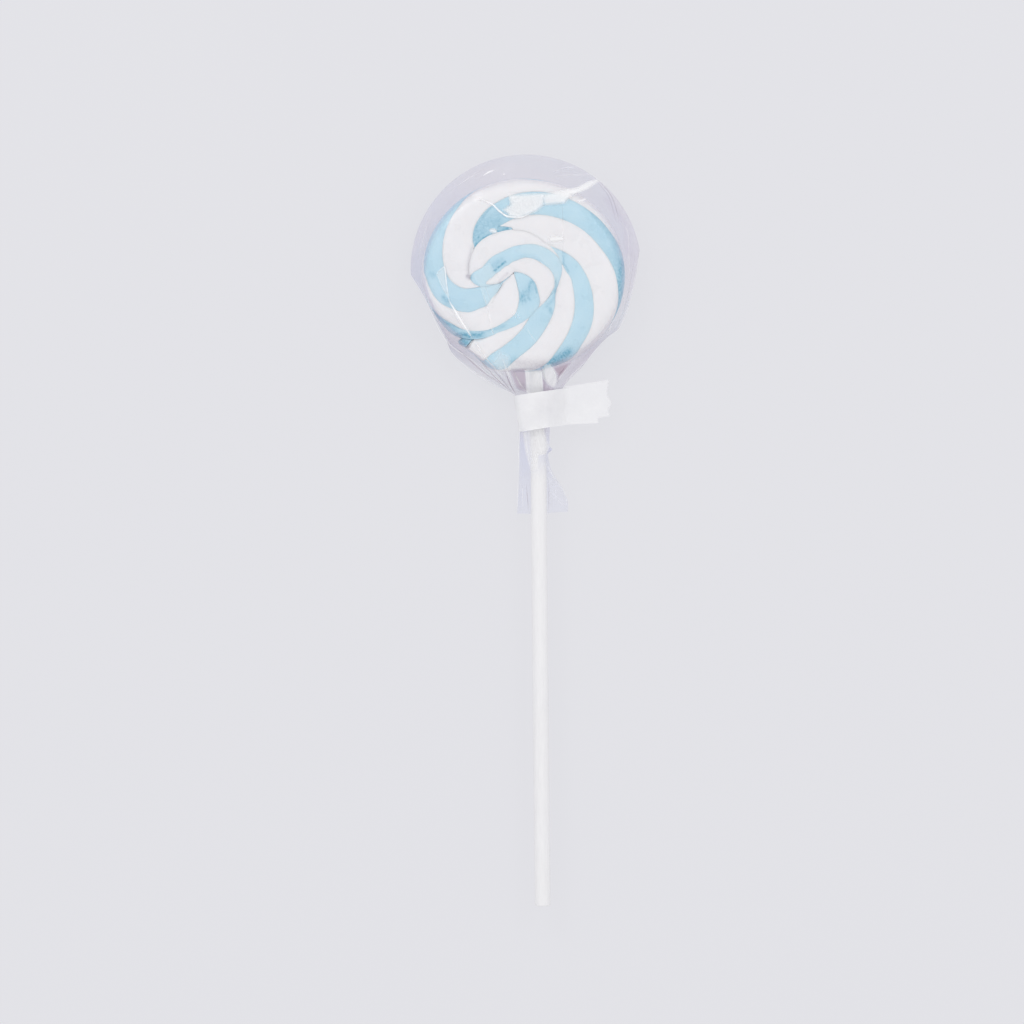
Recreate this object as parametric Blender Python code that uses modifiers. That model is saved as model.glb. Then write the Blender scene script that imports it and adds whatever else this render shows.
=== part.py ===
"""Swirl lollipop on a paper stick, in a clear twisted wrapper that is closed with tape.

The candy is one rope of white sugar with four blue strips laid into it. The rope is twisted
along its length and coiled twice round into a disc. The lollipop lies on its back: +Z points
out of the face that shows, the stick runs towards -Y, and the origin is on the flat underside
of the wrapper, below the middle of the disc.
"""
import math

import bmesh
import bpy
import numpy as np
from mathutils import Matrix, Vector

MM = 0.001
GAP = 0.3 * MM                       # room between pieces that touch

# Candy disc
CANDY_WIDTH = 60 * MM
CANDY_HEIGHT = 56.8 * MM
CANDY_THICKNESS = 14 * MM
COIL_CENTRE = (-2.9 * MM, 0.4 * MM)  # the point that the rope is coiled round
ROPE_START = -130                    # degrees along the coil, from the rope's outer end
ROPE_END = 578
# The rope's outer edge past the round rim: degrees along the coil, distance from its centre
# in mm. One turn later the same edge is the seam that the outer turn lies against.
COIL_EDGE = (
    (178, 27.3), (200, 26.6), (214, 25.9), (223, 25.6), (230, 24.6), (241, 22.0), (258, 17.6),
    (285, 14.3), (306, 12.5), (336, 13.1), (368, 14.4), (390, 13.5), (409, 12.7), (460, 12.7),
    (506, 13.6), (545, 13.1), (559, 11.3), (570, 7.2), (581, 3.6), (593, 1.8), (620, 1.2),
)
# The rope's outer edge near its outer end: degrees along the coil, share of the rim's distance.
START_EDGE = (
    (-130, 0.96), (-122, 0.95), (-117, 0.96), (-110, 1.0), (-104, 1.03), (-90, 1.015), (-70, 1.0),
)
STRIPS_ROUND = 8                     # strips round the rope, white and blue by turns
# The rope's twist: degrees along the coil, and how many strip edges have crossed the middle of
# the front face. Odd strips are blue.
TWIST = (
    (-130, -0.9), (-121, 0), (-110, 0.5), (-101, 1.03), (-75, 2), (-38, 3), (-9, 4), (48, 5), (116, 6),
    (178, 7), (227, 8), (281, 9), (335, 10), (353, 10.5), (379, 10.87), (408, 11.2), (440, 11.65),
    (482, 11.85), (511, 11.7), (529, 11.5), (546, 11.05), (580, 10.6),
)
# Strip edges that stray from the even twist: degrees along the coil, share of the way round.
STRAY_EDGES = {
    0: ((-130, 0.05), (-118, -0.22), (-110, -0.18), (-90, -0.06), (-72, -0.015), (-45, 0), (150, 0),
        (166, 0.06), (184, 0.018), (201, 0.03), (218, 0.042), (232, -0.03), (247, -0.19), (258, -0.17),
        (281, -0.12), (308, -0.068), (350, 0)),
    1: ((-130, 0.04), (-120, 0.08), (-117, 0.07), (-99, -0.012), (-82, -0.022), (-74, -0.04),
        (-69, -0.095), (-55, -0.06), (-38, 0), (215, 0), (231, 0.022), (255, 0.055), (265, 0.045),
        (306, -0.15), (353, -0.03), (379, 0), (529, 0), (578, -0.07)),
    2: ((-112, 0.06), (-100, 0.08), (-90, 0.01), (-83, 0), (-31, -0.008), (-19, -0.03), (10, 0),
        (225, 0), (260, 0.08), (280, 0.125), (296, 0.165), (303, 0.125), (310, 0.07), (322, 0.015),
        (352, -0.02), (368, -0.045), (400, -0.04), (440, 0), (511, 0), (546, -0.1), (578, -0.15)),
    3: ((-110, 0), (-80, 0.05), (-61, 0.011), (-38, -0.003), (-11, 0.01), (0, -0.012), (8, -0.08),
        (42, -0.045), (80, 0), (255, 0), (270, 0.025), (280, 0.045), (295, 0.085), (306, 0.02),
        (316, 0.02), (349, 0.07), (364, 0.025), (379, 0.01), (415, 0.008), (464, 0.02), (519, 0.004),
        (547, -0.02), (560, 0.05)),
    4: ((-90, 0), (-62, 0.03), (-55, 0.005), (-46, -0.021), (-15, -0.007), (3, -0.026), (25, -0.06),
        (36, -0.09), (42, -0.13), (60, -0.095), (100, -0.03), (106, -0.055), (116, -0.035),
        (150, -0.02), (165, 0), (335, 0), (353, 0.06), (366, 0.085), (378, 0.035), (391, 0.009),
        (426, -0.011), (528, -0.016), (546, 0.05)),
    5: ((-130, -0.06), (-108, 0), (-40, 0), (-25, 0.03), (0, 0.015), (19, -0.005), (87, -0.014),
        (97, -0.035), (101, -0.06), (104, -0.135), (116, -0.115), (150, -0.1), (180, -0.04), (225, 0),
        (395, 0), (408, 0.035), (440, 0.095), (482, 0.12), (511, 0.1), (546, 0.02), (562, 0)),
    6: ((-130, -0.155), (-123, -0.12), (-110, -0.045), (-100, 0), (-10, 0), (3, 0.02), (23, -0.015),
        (80, 0.008), (108, 0.002), (126, -0.016), (139, -0.055), (155, -0.165), (178, -0.115),
        (203, -0.095), (240, -0.055), (275, 0), (400, 0), (440, 0.03), (482, 0.05), (546, 0)),
    7: ((-130, -0.2), (-123, -0.2), (-110, -0.105), (-85, 0), (75, 0), (92, 0.055), (112, 0.08),
        (121, 0.048), (130, 0.023), (151, 0.009), (183, -0.006), (192, -0.02), (208, -0.15),
        (240, -0.13), (258, -0.1), (281, -0.04), (300, 0)),
}
SECTION_POWER = 3.0                  # roundness of the rope: 2 is an ellipse, more is squarer
INLAY_DEPTH = 2.2 * MM
INLAY_SHARE = 0.32                   # most of the rope's thickness that the strips may take
INLAY_GAP = 0.36 * MM                # room round each blue strip
INLAY_DRAFT = 0.24 * MM              # how much each side of a blue strip leans in at its bottom
STRIP_DIP = 0.45 * MM                # groove along the edge between two strips
BLUE_DIP = 0.25 * MM                 # how far blue lies below white
ROPE_HALF_WIDTH = 6.8 * MM           # of the outer turn where it is narrowest
END_TAPER = 24                       # degrees over which the rope's ends thin out
END_THICKNESS = 0.5                  # share of the thickness that is left at an end
ROPE_STRIDE = 4.35 * MM                 # distance between sections, within the degrees below
ROPE_STRIDE_LIMITS = (8, 15)
END_STRIDE = 0.6                     # shorter near the rope's ends

# Stick
STICK_DIAMETER = 4.8 * MM
STICK_X = 3.9 * MM
STICK_END_Y = -186.6 * MM
STICK_DEPTH = 12 * MM                # length inside the candy
STICK_BEVEL = 0.5 * MM

# Wrapper
FILM_WALL = 0.4 * MM
FILM_CLEARANCE = 0.5 * MM
FILM_CREASE = (0.36 * MM, 0.04 * MM)  # half height beside the folded edge, outside and inside
FILM_RADIUS = 34.1 * MM
FILM_CENTRE = (0.75 * MM, 1.5 * MM)
FILM_SLOPE = 1.15                    # steepness of the film beside the fold
# Side edges of the wrapper below its round part: y, then x, in mm.
FILM_LEFT = ((0.4, -33.3), (-5.2, -30.4), (-9, -28.9), (-12.9, -26.6), (-19.5, -23.2), (-22.1, -22.0),
             (-28, -15.5), (-32.4, -9.0), (-35.8, -2.6), (-41.5, -1.1), (-46.5, -1.3), (-58, -1.9),
             (-64.6, -2.4), (-70.5, -2.6))
FILM_RIGHT = ((6.9, 34.4), (-4.8, 32.5), (-15.9, 28.1), (-19, 24.6), (-23, 20.6), (-27, 17.3),
              (-33.6, 11.2), (-45, 7.4), (-51.5, 7.8), (-54, 7.3), (-57, 7.9), (-63.7, 11.4),
              (-70.5, 12.7))
# Half height of the folded film away from the candy and the stick: y and height in mm.
FILM_FULLNESS = ((-18, 7.9), (-24, 7.4), (-29, 5.6), (-34, 3.6), (-46, 3.0), (-54, 2.2), (-71, 1.5))
FILM_ROWS = (35.3, 33.8, 31.6, 30.2, 28.6, 26.0, 22.0, 17.0, 7.0, 0.4, -5.0, -9.0, -13.0, -19.0, -23.0,
             -26.0, -28.3, -31.5, -35.0, -39.5, -46.5, -51.5, -54.0, -58.0, -64.0, -70.5)
FILM_COLUMNS = (0, 0.025, 0.06, 0.1, 0.15, 0.22, 0.36, 0.64, 0.78, 0.85, 0.9, 0.94, 0.975, 1)
NECK_START = -28 * MM                # the columns of the mesh even out from here
NECK_FULL = -37 * MM
FRONT_TAIL_END = -60.5 * MM          # the front layer of the tail is the shorter one
TAIL_START = -46.5 * MM
PLEAT_DEPTH = 0.45 * MM

# Tape
TAPE_THICKNESS = 0.5 * MM
TAPE_TOP = (-35.6 * MM, 0.14)        # y of the edge at x = 0, and its slope
TAPE_BOTTOM = (-46.1 * MM, 0.15)
TAPE_SIDE_ROOM = 0.4 * MM
TAPE_HALF_HEIGHT = 4.9 * MM
TAPE_POWER = 2.5
TAPE_STEPS = 20
# Outlines of the two ends past the neck, in mm; the long one has a cut edge with teeth.
FLAG_LONG = ((25.1, -31.1), (24.5, -33.3), (25.4, -35.0), (24.5, -36.6), (25.7, -38.2), (24.7, -40.0),
             (25.3, -41.8))
FLAG_SHORT = ((21.6, -33.4), (21.6, -44.0))
FLAG_ROOT = (-44.4, -42, -38, -35, -33.9)  # y of the points where they leave the neck, in mm

MID_Z = CANDY_THICKNESS / 2 + FILM_CLEARANCE + FILM_WALL

WHITE = (0.87, 0.86, 0.87)
BLUE = (0.50, 0.71, 0.84)


def through(rows, at):
    """Value at one place of a smooth curve through (place, value) rows."""
    places = [row[0] for row in rows]
    values = [row[1] for row in rows]
    if places[0] > places[-1]:
        places.reverse()
        values.reverse()
    if at <= places[0]:
        return values[0]
    if at >= places[-1]:
        return values[-1]
    i = int(np.searchsorted(places, at)) - 1
    step = places[i + 1] - places[i]
    rise = (values[i + 1] - values[i]) / step

    def slope(k):
        """Slope at row k, flat where the rows turn back, so the curve never overshoots."""
        if k in (0, len(places) - 1):
            return rise
        before = (values[k] - values[k - 1]) / (places[k] - places[k - 1])
        after = (values[k + 1] - values[k]) / (places[k + 1] - places[k])
        return 0.0 if before * after <= 0 else 2 * before * after / (before + after)

    t = (at - places[i]) / step
    near, far = slope(i) * step, slope(i + 1) * step
    return (values[i] * (1 + 2 * t) * (1 - t) ** 2 + near * t * (1 - t) ** 2
            + values[i + 1] * t * t * (3 - 2 * t) + far * t * t * (t - 1))


# ---------------------------------------------------------------- materials and meshes

def material(name, colour, roughness, metallic=0.0, alpha=1.0):
    """Plain Principled material."""
    made = bpy.data.materials.new(name)
    made.use_nodes = True
    shader = made.node_tree.nodes["Principled BSDF"]
    shader.inputs["Base Color"].default_value = (*colour, 1.0)
    shader.inputs["Roughness"].default_value = roughness
    shader.inputs["Metallic"].default_value = metallic
    shader.inputs["Alpha"].default_value = alpha
    made.diffuse_color = (*colour, alpha)
    return made


def add_object(name, bm, finish, collection, smooth_angle=35):
    """Turn a bmesh into a named object with its faces pointing out."""
    bmesh.ops.recalc_face_normals(bm, faces=bm.faces)
    mesh = bpy.data.meshes.new(name)
    bm.to_mesh(mesh)
    bm.free()
    mesh.materials.append(finish)
    mesh.shade_smooth()
    mesh.set_sharp_from_angle(angle=math.radians(smooth_angle))
    made = bpy.data.objects.new(name, mesh)
    collection.objects.link(made)
    return made


def skin(bm, rings):
    """Join rings of equally many points with faces, and return the first and last ring."""
    loops = [[bm.verts.new(point) for point in ring] for ring in rings]
    for near, far in zip(loops, loops[1:]):
        for i in range(len(near)):
            j = (i + 1) % len(near)
            bm.faces.new((near[i], near[j], far[j], far[i]))
    return loops[0], loops[-1]


def solid_loft(rings):
    """Closed solid through rings, with a flat face at each end."""
    bm = bmesh.new()
    first, last = skin(bm, rings)
    bm.faces.new(first)
    bm.faces.new(last)
    bmesh.ops.triangulate(bm, faces=bm.faces, quad_method="SHORT_EDGE", ngon_method="BEAUTY")
    return bm


def cut(target, cutter, operation="DIFFERENCE"):
    """Give an object a Boolean modifier."""
    modifier = target.modifiers.new(cutter.name, "BOOLEAN")
    modifier.operation = operation
    modifier.solver = "EXACT"
    modifier.object = cutter


# ---------------------------------------------------------------- candy rope

def rim_distance(degrees):
    """Distance from the coil's centre to the candy's oval rim."""
    a, b = CANDY_WIDTH / 2, CANDY_HEIGHT / 2
    x, y = COIL_CENTRE
    c, s = math.cos(math.radians(degrees)), math.sin(math.radians(degrees))
    square = (c / a) ** 2 + (s / b) ** 2
    half = x * c / a ** 2 + y * s / b ** 2
    rest = (x / a) ** 2 + (y / b) ** 2 - 1
    return (-half + math.sqrt(half ** 2 - square * rest)) / square


def coil_edge(degrees):
    """Distance from the coil's centre to the rope's outer edge."""
    if degrees <= COIL_EDGE[0][0]:
        return rim_distance(degrees) * through(START_EDGE, degrees)
    return through(COIL_EDGE, degrees) * MM


def strip_edge(number, degrees):
    """Share of the way round the rope at which a strip starts."""
    rows = STRAY_EDGES.get(number % STRIPS_ROUND)
    stray = through(rows, degrees) if rows else 0.0
    return 0.25 + (number - through(TWIST, degrees)) / STRIPS_ROUND + stray


def end_share(degrees):
    """How full the rope is: 1 along its length, less towards its two ends."""
    along = min(degrees - ROPE_START, ROPE_END - degrees) / END_TAPER
    along = min(max(along, 0.0), 1.0)
    return END_THICKNESS + (1 - END_THICKNESS) * math.sin(along * math.pi / 2)


class Section:
    """The rope's cross-section at one place along the coil."""

    def __init__(self, degrees):
        inner = coil_edge(degrees + 360) + GAP / 2
        outer = coil_edge(degrees) - GAP / 2
        self.angle = math.radians(degrees)
        self.middle = (inner + outer) / 2
        self.half_width = (outer - inner) / 2
        self.half_height = CANDY_THICKNESS / 2 * end_share(degrees)
        turn = np.linspace(0, 2 * math.pi, 721)
        power = 2 / SECTION_POWER
        self.across = -np.sign(np.cos(turn)) * np.abs(np.cos(turn)) ** power * self.half_width
        self.up = np.sign(np.sin(turn)) * np.abs(np.sin(turn)) ** power * self.half_height
        steps = np.hypot(np.diff(self.across), np.diff(self.up))
        self.length = float(steps.sum())
        self.share = np.concatenate(([0.0], np.cumsum(steps))) / self.length

    def outline(self, share):
        """Point of the section's outline: across and up, at a share of the way round."""
        share = share % 1.0
        return Vector([float(np.interp(share, self.share, side)) for side in (self.across, self.up)])

    def point(self, share, depth):
        """Point at a share of the way round from the inner side over the front, at a depth."""
        along = (self.outline(share + 0.01) - self.outline(share - 0.01)).normalized()
        across, up = self.outline(share) + Vector((along.y, -along.x)) * depth
        distance = self.middle + across
        return (COIL_CENTRE[0] + distance * math.cos(self.angle),
                COIL_CENTRE[1] + distance * math.sin(self.angle),
                MID_Z + up)

    def inlay_depth(self):
        """Depth of the blue strips, less where the rope is thin."""
        return min(INLAY_DEPTH, INLAY_SHARE * min(self.half_width, self.half_height) * 2)


SURFACE_STEPS = (0.0, 0.33, 0.67, 1.0)
FLOOR_STEPS = (0.0, 0.5, 1.0)


def strip_surface(section, start, end, is_blue):
    """Outer points of one strip, lower at its two edges."""
    margin = INLAY_GAP / 2 / section.length
    points = []
    for step in SURFACE_STEPS:
        dip = STRIP_DIP * (2 * step - 1) ** 2 + (BLUE_DIP if is_blue else 0.0)
        share = start + margin + (end - start - 2 * margin) * step
        points.append(section.point(share, dip * section.half_height / (CANDY_THICKNESS / 2)))
    return points


def strip_floor(section, start, end, depth, margin):
    """Points along the bottom of a blue strip, or of the groove it lies in."""
    low = start + margin / section.length
    high = end - margin / section.length
    return [section.point(low + (high - low) * step, depth) for step in FLOOR_STEPS]


def white_ring(degrees):
    """Cross-section of the white rope, with a groove for each blue strip."""
    section = Section(degrees)
    depth = section.inlay_depth() + INLAY_GAP
    ring = []
    for number in range(0, STRIPS_ROUND, 2):
        white, blue, after = (strip_edge(number + k, degrees) for k in range(3))
        ring += strip_surface(section, white, blue, is_blue=False)
        ring += strip_floor(section, blue, after, depth, -INLAY_GAP / 2)
    return ring


def blue_ring(degrees, number):
    """Cross-section of one blue strip."""
    section = Section(degrees)
    start, end = strip_edge(number, degrees), strip_edge(number + 1, degrees)
    floor = strip_floor(section, start, end, section.inlay_depth(), INLAY_GAP / 2 + INLAY_DRAFT)
    return strip_surface(section, start, end, is_blue=True) + floor[::-1]


def rope_stations():
    """Places along the coil, in degrees, about evenly spaced along the rope."""
    places = [float(ROPE_START)]
    while places[-1] < ROPE_END:
        near_end = min(places[-1] - ROPE_START, ROPE_END - places[-1]) < END_TAPER / 2
        reach = (coil_edge(places[-1]) + coil_edge(places[-1] + 360)) / 2
        least, most = ROPE_STRIDE_LIMITS
        stride = min(max(math.degrees(ROPE_STRIDE / reach), least), most)
        places.append(places[-1] + stride * (END_STRIDE if near_end else 1))
    stretch = (ROPE_END - ROPE_START) / (places[-1] - ROPE_START)
    return [ROPE_START + (place - ROPE_START) * stretch for place in places]


def make_candy(collection, bore):
    """The white rope and the blue strips laid into it."""
    places = rope_stations()
    white = add_object("candy_white", solid_loft([white_ring(place) for place in places]),
                       material("white_candy", WHITE, 0.25), collection, 50)
    cut(white, bore)
    blue_finish = material("blue_candy", BLUE, 0.25)
    for number in range(1, STRIPS_ROUND, 2):
        name = f"candy_blue_{number // 2 + 1}"
        rings = [blue_ring(place, number) for place in places]
        strip = add_object(name, solid_loft(rings), blue_finish, collection, 50)
        cut(strip, bore)


# ---------------------------------------------------------------- stick

def stick_rod(bm, diameter, start_y, end_y):
    """Round rod along Y, centred on the stick's axis."""
    length = abs(end_y - start_y)
    turn = Matrix.Rotation(math.radians(90), 4, "X")
    place = Matrix.Translation((STICK_X, (start_y + end_y) / 2, MID_Z))
    bmesh.ops.create_cone(bm, segments=16, cap_ends=True, radius1=diameter / 2,
                          radius2=diameter / 2, depth=length, matrix=place @ turn)


def candy_edge_y():
    """y of the candy's rim where the stick goes in."""
    return -CANDY_HEIGHT / 2 * math.sqrt(1 - (STICK_X / (CANDY_WIDTH / 2)) ** 2)


def make_bore(cutters):
    """Cutter for the hole that the stick sits in."""
    bm = bmesh.new()
    top = candy_edge_y() + STICK_DEPTH + GAP
    stick_rod(bm, STICK_DIAMETER + 2 * GAP, top, -CANDY_HEIGHT / 2 - 4 * MM)
    bore = add_object("stick_bore", bm, material("bore", WHITE, 0.5), cutters)
    bore.hide_render = True
    bore.display_type = "WIRE"
    return bore


def make_stick(collection):
    """Rolled paper stick with softened ends."""
    bm = bmesh.new()
    stick_rod(bm, STICK_DIAMETER, candy_edge_y() + STICK_DEPTH, STICK_END_Y)
    stick = add_object("stick", bm, material("paper", (0.86, 0.855, 0.86), 0.6), collection)
    bevel = stick.modifiers.new("soft_ends", "BEVEL")
    bevel.width = STICK_BEVEL
    bevel.segments = 2
    bevel.limit_method = "ANGLE"
    bevel.angle_limit = math.radians(60)


# ---------------------------------------------------------------- wrapper

def film_side(y, rows, sign):
    """x of the wrapper's left (-1) or right (1) edge at a height along the stick."""
    reach = FILM_RADIUS ** 2 - (y - FILM_CENTRE[1]) ** 2
    if y / MM >= rows[0][0]:
        return FILM_CENTRE[0] + sign * math.sqrt(max(reach, 0.0))
    return through(rows, y / MM) * MM


def film_edges(y):
    """Both side edges of the wrapper."""
    return film_side(y, FILM_LEFT, -1), film_side(y, FILM_RIGHT, 1)


def fold_distance(x, y):
    """How far a point is from the nearest folded edge."""
    if y / MM > FILM_RIGHT[0][0]:
        return FILM_RADIUS - math.hypot(x - FILM_CENTRE[0], y - FILM_CENTRE[1])
    left, right = film_edges(y)
    step = 0.5 * MM
    left_up, right_up = film_edges(y + step)
    beside_left = (x - left) / math.hypot(1, (left_up - left) / step)
    beside_right = (right - x) / math.hypot(1, (right_up - right) / step)
    return min(beside_left, beside_right)


def candy_half_height(x, y, offset):
    """Half height of the candy's outer turn, grown by an offset."""
    degrees = math.degrees(math.atan2(y - COIL_CENTRE[1], x - COIL_CENTRE[0]))
    if degrees < ROPE_START:
        degrees += 360
    distance = math.hypot(x - COIL_CENTRE[0], y - COIL_CENTRE[1])
    depth = coil_edge(degrees) + offset - distance
    shoulder = ROPE_HALF_WIDTH + offset
    if depth <= 0:
        return 0.0
    out = max(1 - depth / shoulder, 0.0)
    return (CANDY_THICKNESS / 2 + offset) * (1 - out ** SECTION_POWER) ** (1 / SECTION_POWER)


def film_half_height(x, y, inset):
    """Half height of the wrapper: over the candy, over the stick, or towards its fold."""
    offset = FILM_CLEARANCE + FILM_WALL - inset
    over_candy = candy_half_height(x, y, offset)
    round_stick = STICK_DIAMETER / 2 + offset
    beside_stick = round_stick ** 2 - (x - STICK_X) ** 2
    over_stick = math.sqrt(beside_stick) if beside_stick > 0 and y < candy_edge_y() else 0.0
    fullness = through(FILM_FULLNESS, y / MM) * MM - inset
    distance = max(fold_distance(x, y) - inset, 0.0)
    crease = FILM_CREASE[0] if inset == 0 else FILM_CREASE[1]
    beside_fold = crease + fullness * math.tanh(FILM_SLOPE * distance / fullness)
    return min(max(over_candy, over_stick, beside_fold), CANDY_THICKNESS / 2 + offset)


def film_ring(row, inset):
    """One loop of the wrapper: the front from left to right, then the back."""
    count = len(FILM_COLUMNS)
    base_y = FILM_ROWS[row] * MM
    if row == 0:
        base_y -= inset
    tail = max((TAIL_START - base_y) / (TAIL_START - FILM_ROWS[-1] * MM), 0.0)
    shorter = tail * (FRONT_TAIL_END - FILM_ROWS[-1] * MM)
    neck = min(max((NECK_START - base_y) / (NECK_START - NECK_FULL), 0.0), 1.0)
    ring = []
    for side in (1, -1):
        columns = range(count) if side == 1 else range(count - 2, 0, -1)
        for column in columns:
            folded = column in (0, count - 1)
            y = base_y + shorter * (0.5 if folded else (side + 1) / 2)
            left, right = film_edges(y)
            even = column / (count - 1)
            share = FILM_COLUMNS[column] * (1 - neck) + even * neck
            x = left + inset + (right - left - 2 * inset) * share
            pleat = PLEAT_DEPTH * neck * (column % 2)
            height = 0.0 if folded else film_half_height(x, y, inset) + pleat
            ring.append((x, y, MID_Z + side * height))
    return ring


def make_film(collection):
    """Clear wrapper: a pouch round the candy, gathered round the stick, open at its tail."""
    bm = bmesh.new()
    rows = range(len(FILM_ROWS))
    outer_first, outer_last = skin(bm, [film_ring(row, 0.0) for row in rows])
    inner_first, inner_last = skin(bm, [film_ring(row, FILM_WALL) for row in rows])
    bm.faces.new(outer_first)
    bm.faces.new(inner_first)
    for i in range(len(outer_last)):
        j = (i + 1) % len(outer_last)
        bm.faces.new((outer_last[i], outer_last[j], inner_last[j], inner_last[i]))
    bmesh.ops.dissolve_limit(bm, angle_limit=math.radians(0.05), verts=bm.verts, edges=bm.edges)
    finish = material("clear_film", (0.86, 0.84, 0.88), 0.12, alpha=0.3)
    return add_object("film", bm, finish, collection)


# ---------------------------------------------------------------- tape

def tape_ring(share, grow):
    """One loop of the tape round the neck, slanted like its two edges."""
    middle = TAPE_TOP[0] + share * (TAPE_BOTTOM[0] - TAPE_TOP[0])
    slant = TAPE_TOP[1] + share * (TAPE_BOTTOM[1] - TAPE_TOP[1])
    left, right = film_edges(middle)
    for _ in range(4):  # settles on the points where the slanted line meets the two edges
        left, right = film_edges(middle + slant * left)[0], film_edges(middle + slant * right)[1]
    half = (right - left) / 2 + TAPE_SIDE_ROOM + grow
    ring = []
    for step in range(TAPE_STEPS):
        turn = 2 * math.pi * step / TAPE_STEPS
        c, s = math.cos(turn), math.sin(turn)
        x_share = math.copysign(abs(c) ** (2 / TAPE_POWER), c)
        z_share = math.copysign(abs(s) ** (2 / TAPE_POWER), s)
        x = (left + right) / 2 + half * x_share
        ring.append((x, middle + slant * x, MID_Z + (TAPE_HALF_HEIGHT + grow) * z_share))
    return ring


def make_flag(name, outline, low, high, collection):
    """Flat end of the tape: an outline in mm, extruded between two heights."""
    side = TAPE_SIDE_ROOM + TAPE_THICKNESS / 2
    root = [(film_edges(y * MM)[1] + side, y * MM) for y in FLAG_ROOT]
    flat = [(x * MM, y * MM) for x, y in outline] + root
    rings = [[(x, y, MID_Z + z) for x, y in flat] for z in (low, high)]
    flag = add_object(name, solid_loft(rings), material(name, WHITE, 0.5), collection)
    flag.hide_render = True
    flag.display_type = "WIRE"
    return flag


def make_tape(collection, cutters):
    """Tape wrapped once round the neck, its two ends stuck together as a flag."""
    bm = bmesh.new()
    shares = (0, 0.35, 0.7, 1)           # from the tape's top edge to its bottom edge
    outer_first, outer_last = skin(bm, [tape_ring(share, TAPE_THICKNESS) for share in shares])
    inner_first, inner_last = skin(bm, [tape_ring(share, 0.0) for share in shares])
    for outer, inner in ((outer_first, inner_first), (outer_last, inner_last)):
        for i in range(TAPE_STEPS):
            j = (i + 1) % TAPE_STEPS
            bm.faces.new((outer[i], outer[j], inner[j], inner[i]))
    tape = add_object("tape", bm, material("white_tape", (0.83, 0.83, 0.85), 0.5), collection)
    overlap = 0.1 * MM
    long_end = make_flag("flag_long", FLAG_LONG, -TAPE_THICKNESS, overlap, cutters)
    short_end = make_flag("flag_short", FLAG_SHORT, -overlap, TAPE_THICKNESS, cutters)
    cut(tape, long_end, "UNION")
    cut(tape, short_end, "UNION")


def clear_scene():
    """Remove the objects that a new file starts with."""
    for old in list(bpy.data.objects):
        bpy.data.objects.remove(old)


def main():
    clear_scene()
    parts = bpy.data.collections.new("swirl_lollipop")
    cutters = bpy.data.collections.new("cutters")
    for collection in (parts, cutters):
        bpy.context.scene.collection.children.link(collection)
    make_candy(parts, make_bore(cutters))
    make_stick(parts)
    make_film(parts)
    make_tape(parts, cutters)


main()
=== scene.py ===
"""Looks of the swirl lollipop: the sugar rope, its paper stick, the clear wrapper and the tape.

Lengths named with MM are in metres. The rope and the wrapper follow the same sizes as the solids
that they replace, with finer meshes, rounded strips, and creases and gathers in the film.
"""

import math

import bmesh
import bpy
import numpy as np
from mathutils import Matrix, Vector, noise


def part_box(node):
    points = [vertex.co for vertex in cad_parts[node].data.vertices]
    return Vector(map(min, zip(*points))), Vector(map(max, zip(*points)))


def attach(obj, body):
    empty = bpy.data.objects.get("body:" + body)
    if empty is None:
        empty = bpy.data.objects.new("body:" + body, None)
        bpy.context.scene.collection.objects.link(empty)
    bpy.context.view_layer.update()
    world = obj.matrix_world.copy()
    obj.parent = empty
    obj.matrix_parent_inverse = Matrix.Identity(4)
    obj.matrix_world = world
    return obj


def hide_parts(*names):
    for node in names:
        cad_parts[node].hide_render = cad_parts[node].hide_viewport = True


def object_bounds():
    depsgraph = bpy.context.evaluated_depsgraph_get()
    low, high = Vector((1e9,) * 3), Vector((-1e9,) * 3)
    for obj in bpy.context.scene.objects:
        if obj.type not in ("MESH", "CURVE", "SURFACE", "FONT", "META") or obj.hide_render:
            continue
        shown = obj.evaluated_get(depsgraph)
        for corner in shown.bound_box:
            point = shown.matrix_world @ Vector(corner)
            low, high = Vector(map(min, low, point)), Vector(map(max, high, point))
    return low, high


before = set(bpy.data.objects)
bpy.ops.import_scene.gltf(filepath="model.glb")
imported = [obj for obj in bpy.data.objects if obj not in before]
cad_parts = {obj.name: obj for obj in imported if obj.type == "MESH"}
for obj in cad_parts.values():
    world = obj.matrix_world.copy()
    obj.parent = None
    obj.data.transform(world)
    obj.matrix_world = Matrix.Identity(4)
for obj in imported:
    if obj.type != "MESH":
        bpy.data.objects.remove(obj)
CAD_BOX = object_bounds()

MM = 0.001
STICK_LOW, STICK_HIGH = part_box("stick")
CANDY_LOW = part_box("candy_white")[0]
FILM_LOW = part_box("film")[0]
MID_Z = (STICK_LOW.z + STICK_HIGH.z) / 2
STICK_X = (STICK_LOW.x + STICK_HIGH.x) / 2
STICK_RADIUS = (STICK_HIGH.x - STICK_LOW.x) / 2

# ---- sizes of the candy rope
CANDY_WIDTH = 60 * MM
CANDY_HEIGHT = 56.8 * MM
CANDY_HALF = 7 * MM
COIL_CENTRE = (-2.9 * MM, 0.4 * MM)
ROPE_START = -130             # degrees along the coil
ROPE_END = 578
# The rope's outer edge past the round rim: degrees along the coil, distance from its centre, mm.
COIL_EDGE = (
    (178, 27.3), (200, 26.6), (214, 25.9), (223, 25.6), (230, 24.6), (241, 22), (258, 17.6),
    (285, 14.3), (306, 12.5), (336, 13.1), (368, 14.4), (390, 13.5), (409, 12.7), (460, 12.7),
    (506, 13.6), (545, 13.1), (559, 11.3), (570, 7.2), (581, 3.6), (593, 1.8), (620, 1.2),
)
# The rope's outer edge near its outer end: degrees, share of the rim's distance.
START_EDGE = (
    (-130, 0.96), (-122, 0.95), (-117, 0.96), (-110, 1), (-104, 1.03), (-90, 1.015), (-70, 1),
)
STRIPS_ROUND = 8
FRONT_MIDDLE = 0.25           # share of the way round, from the inner side
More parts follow.
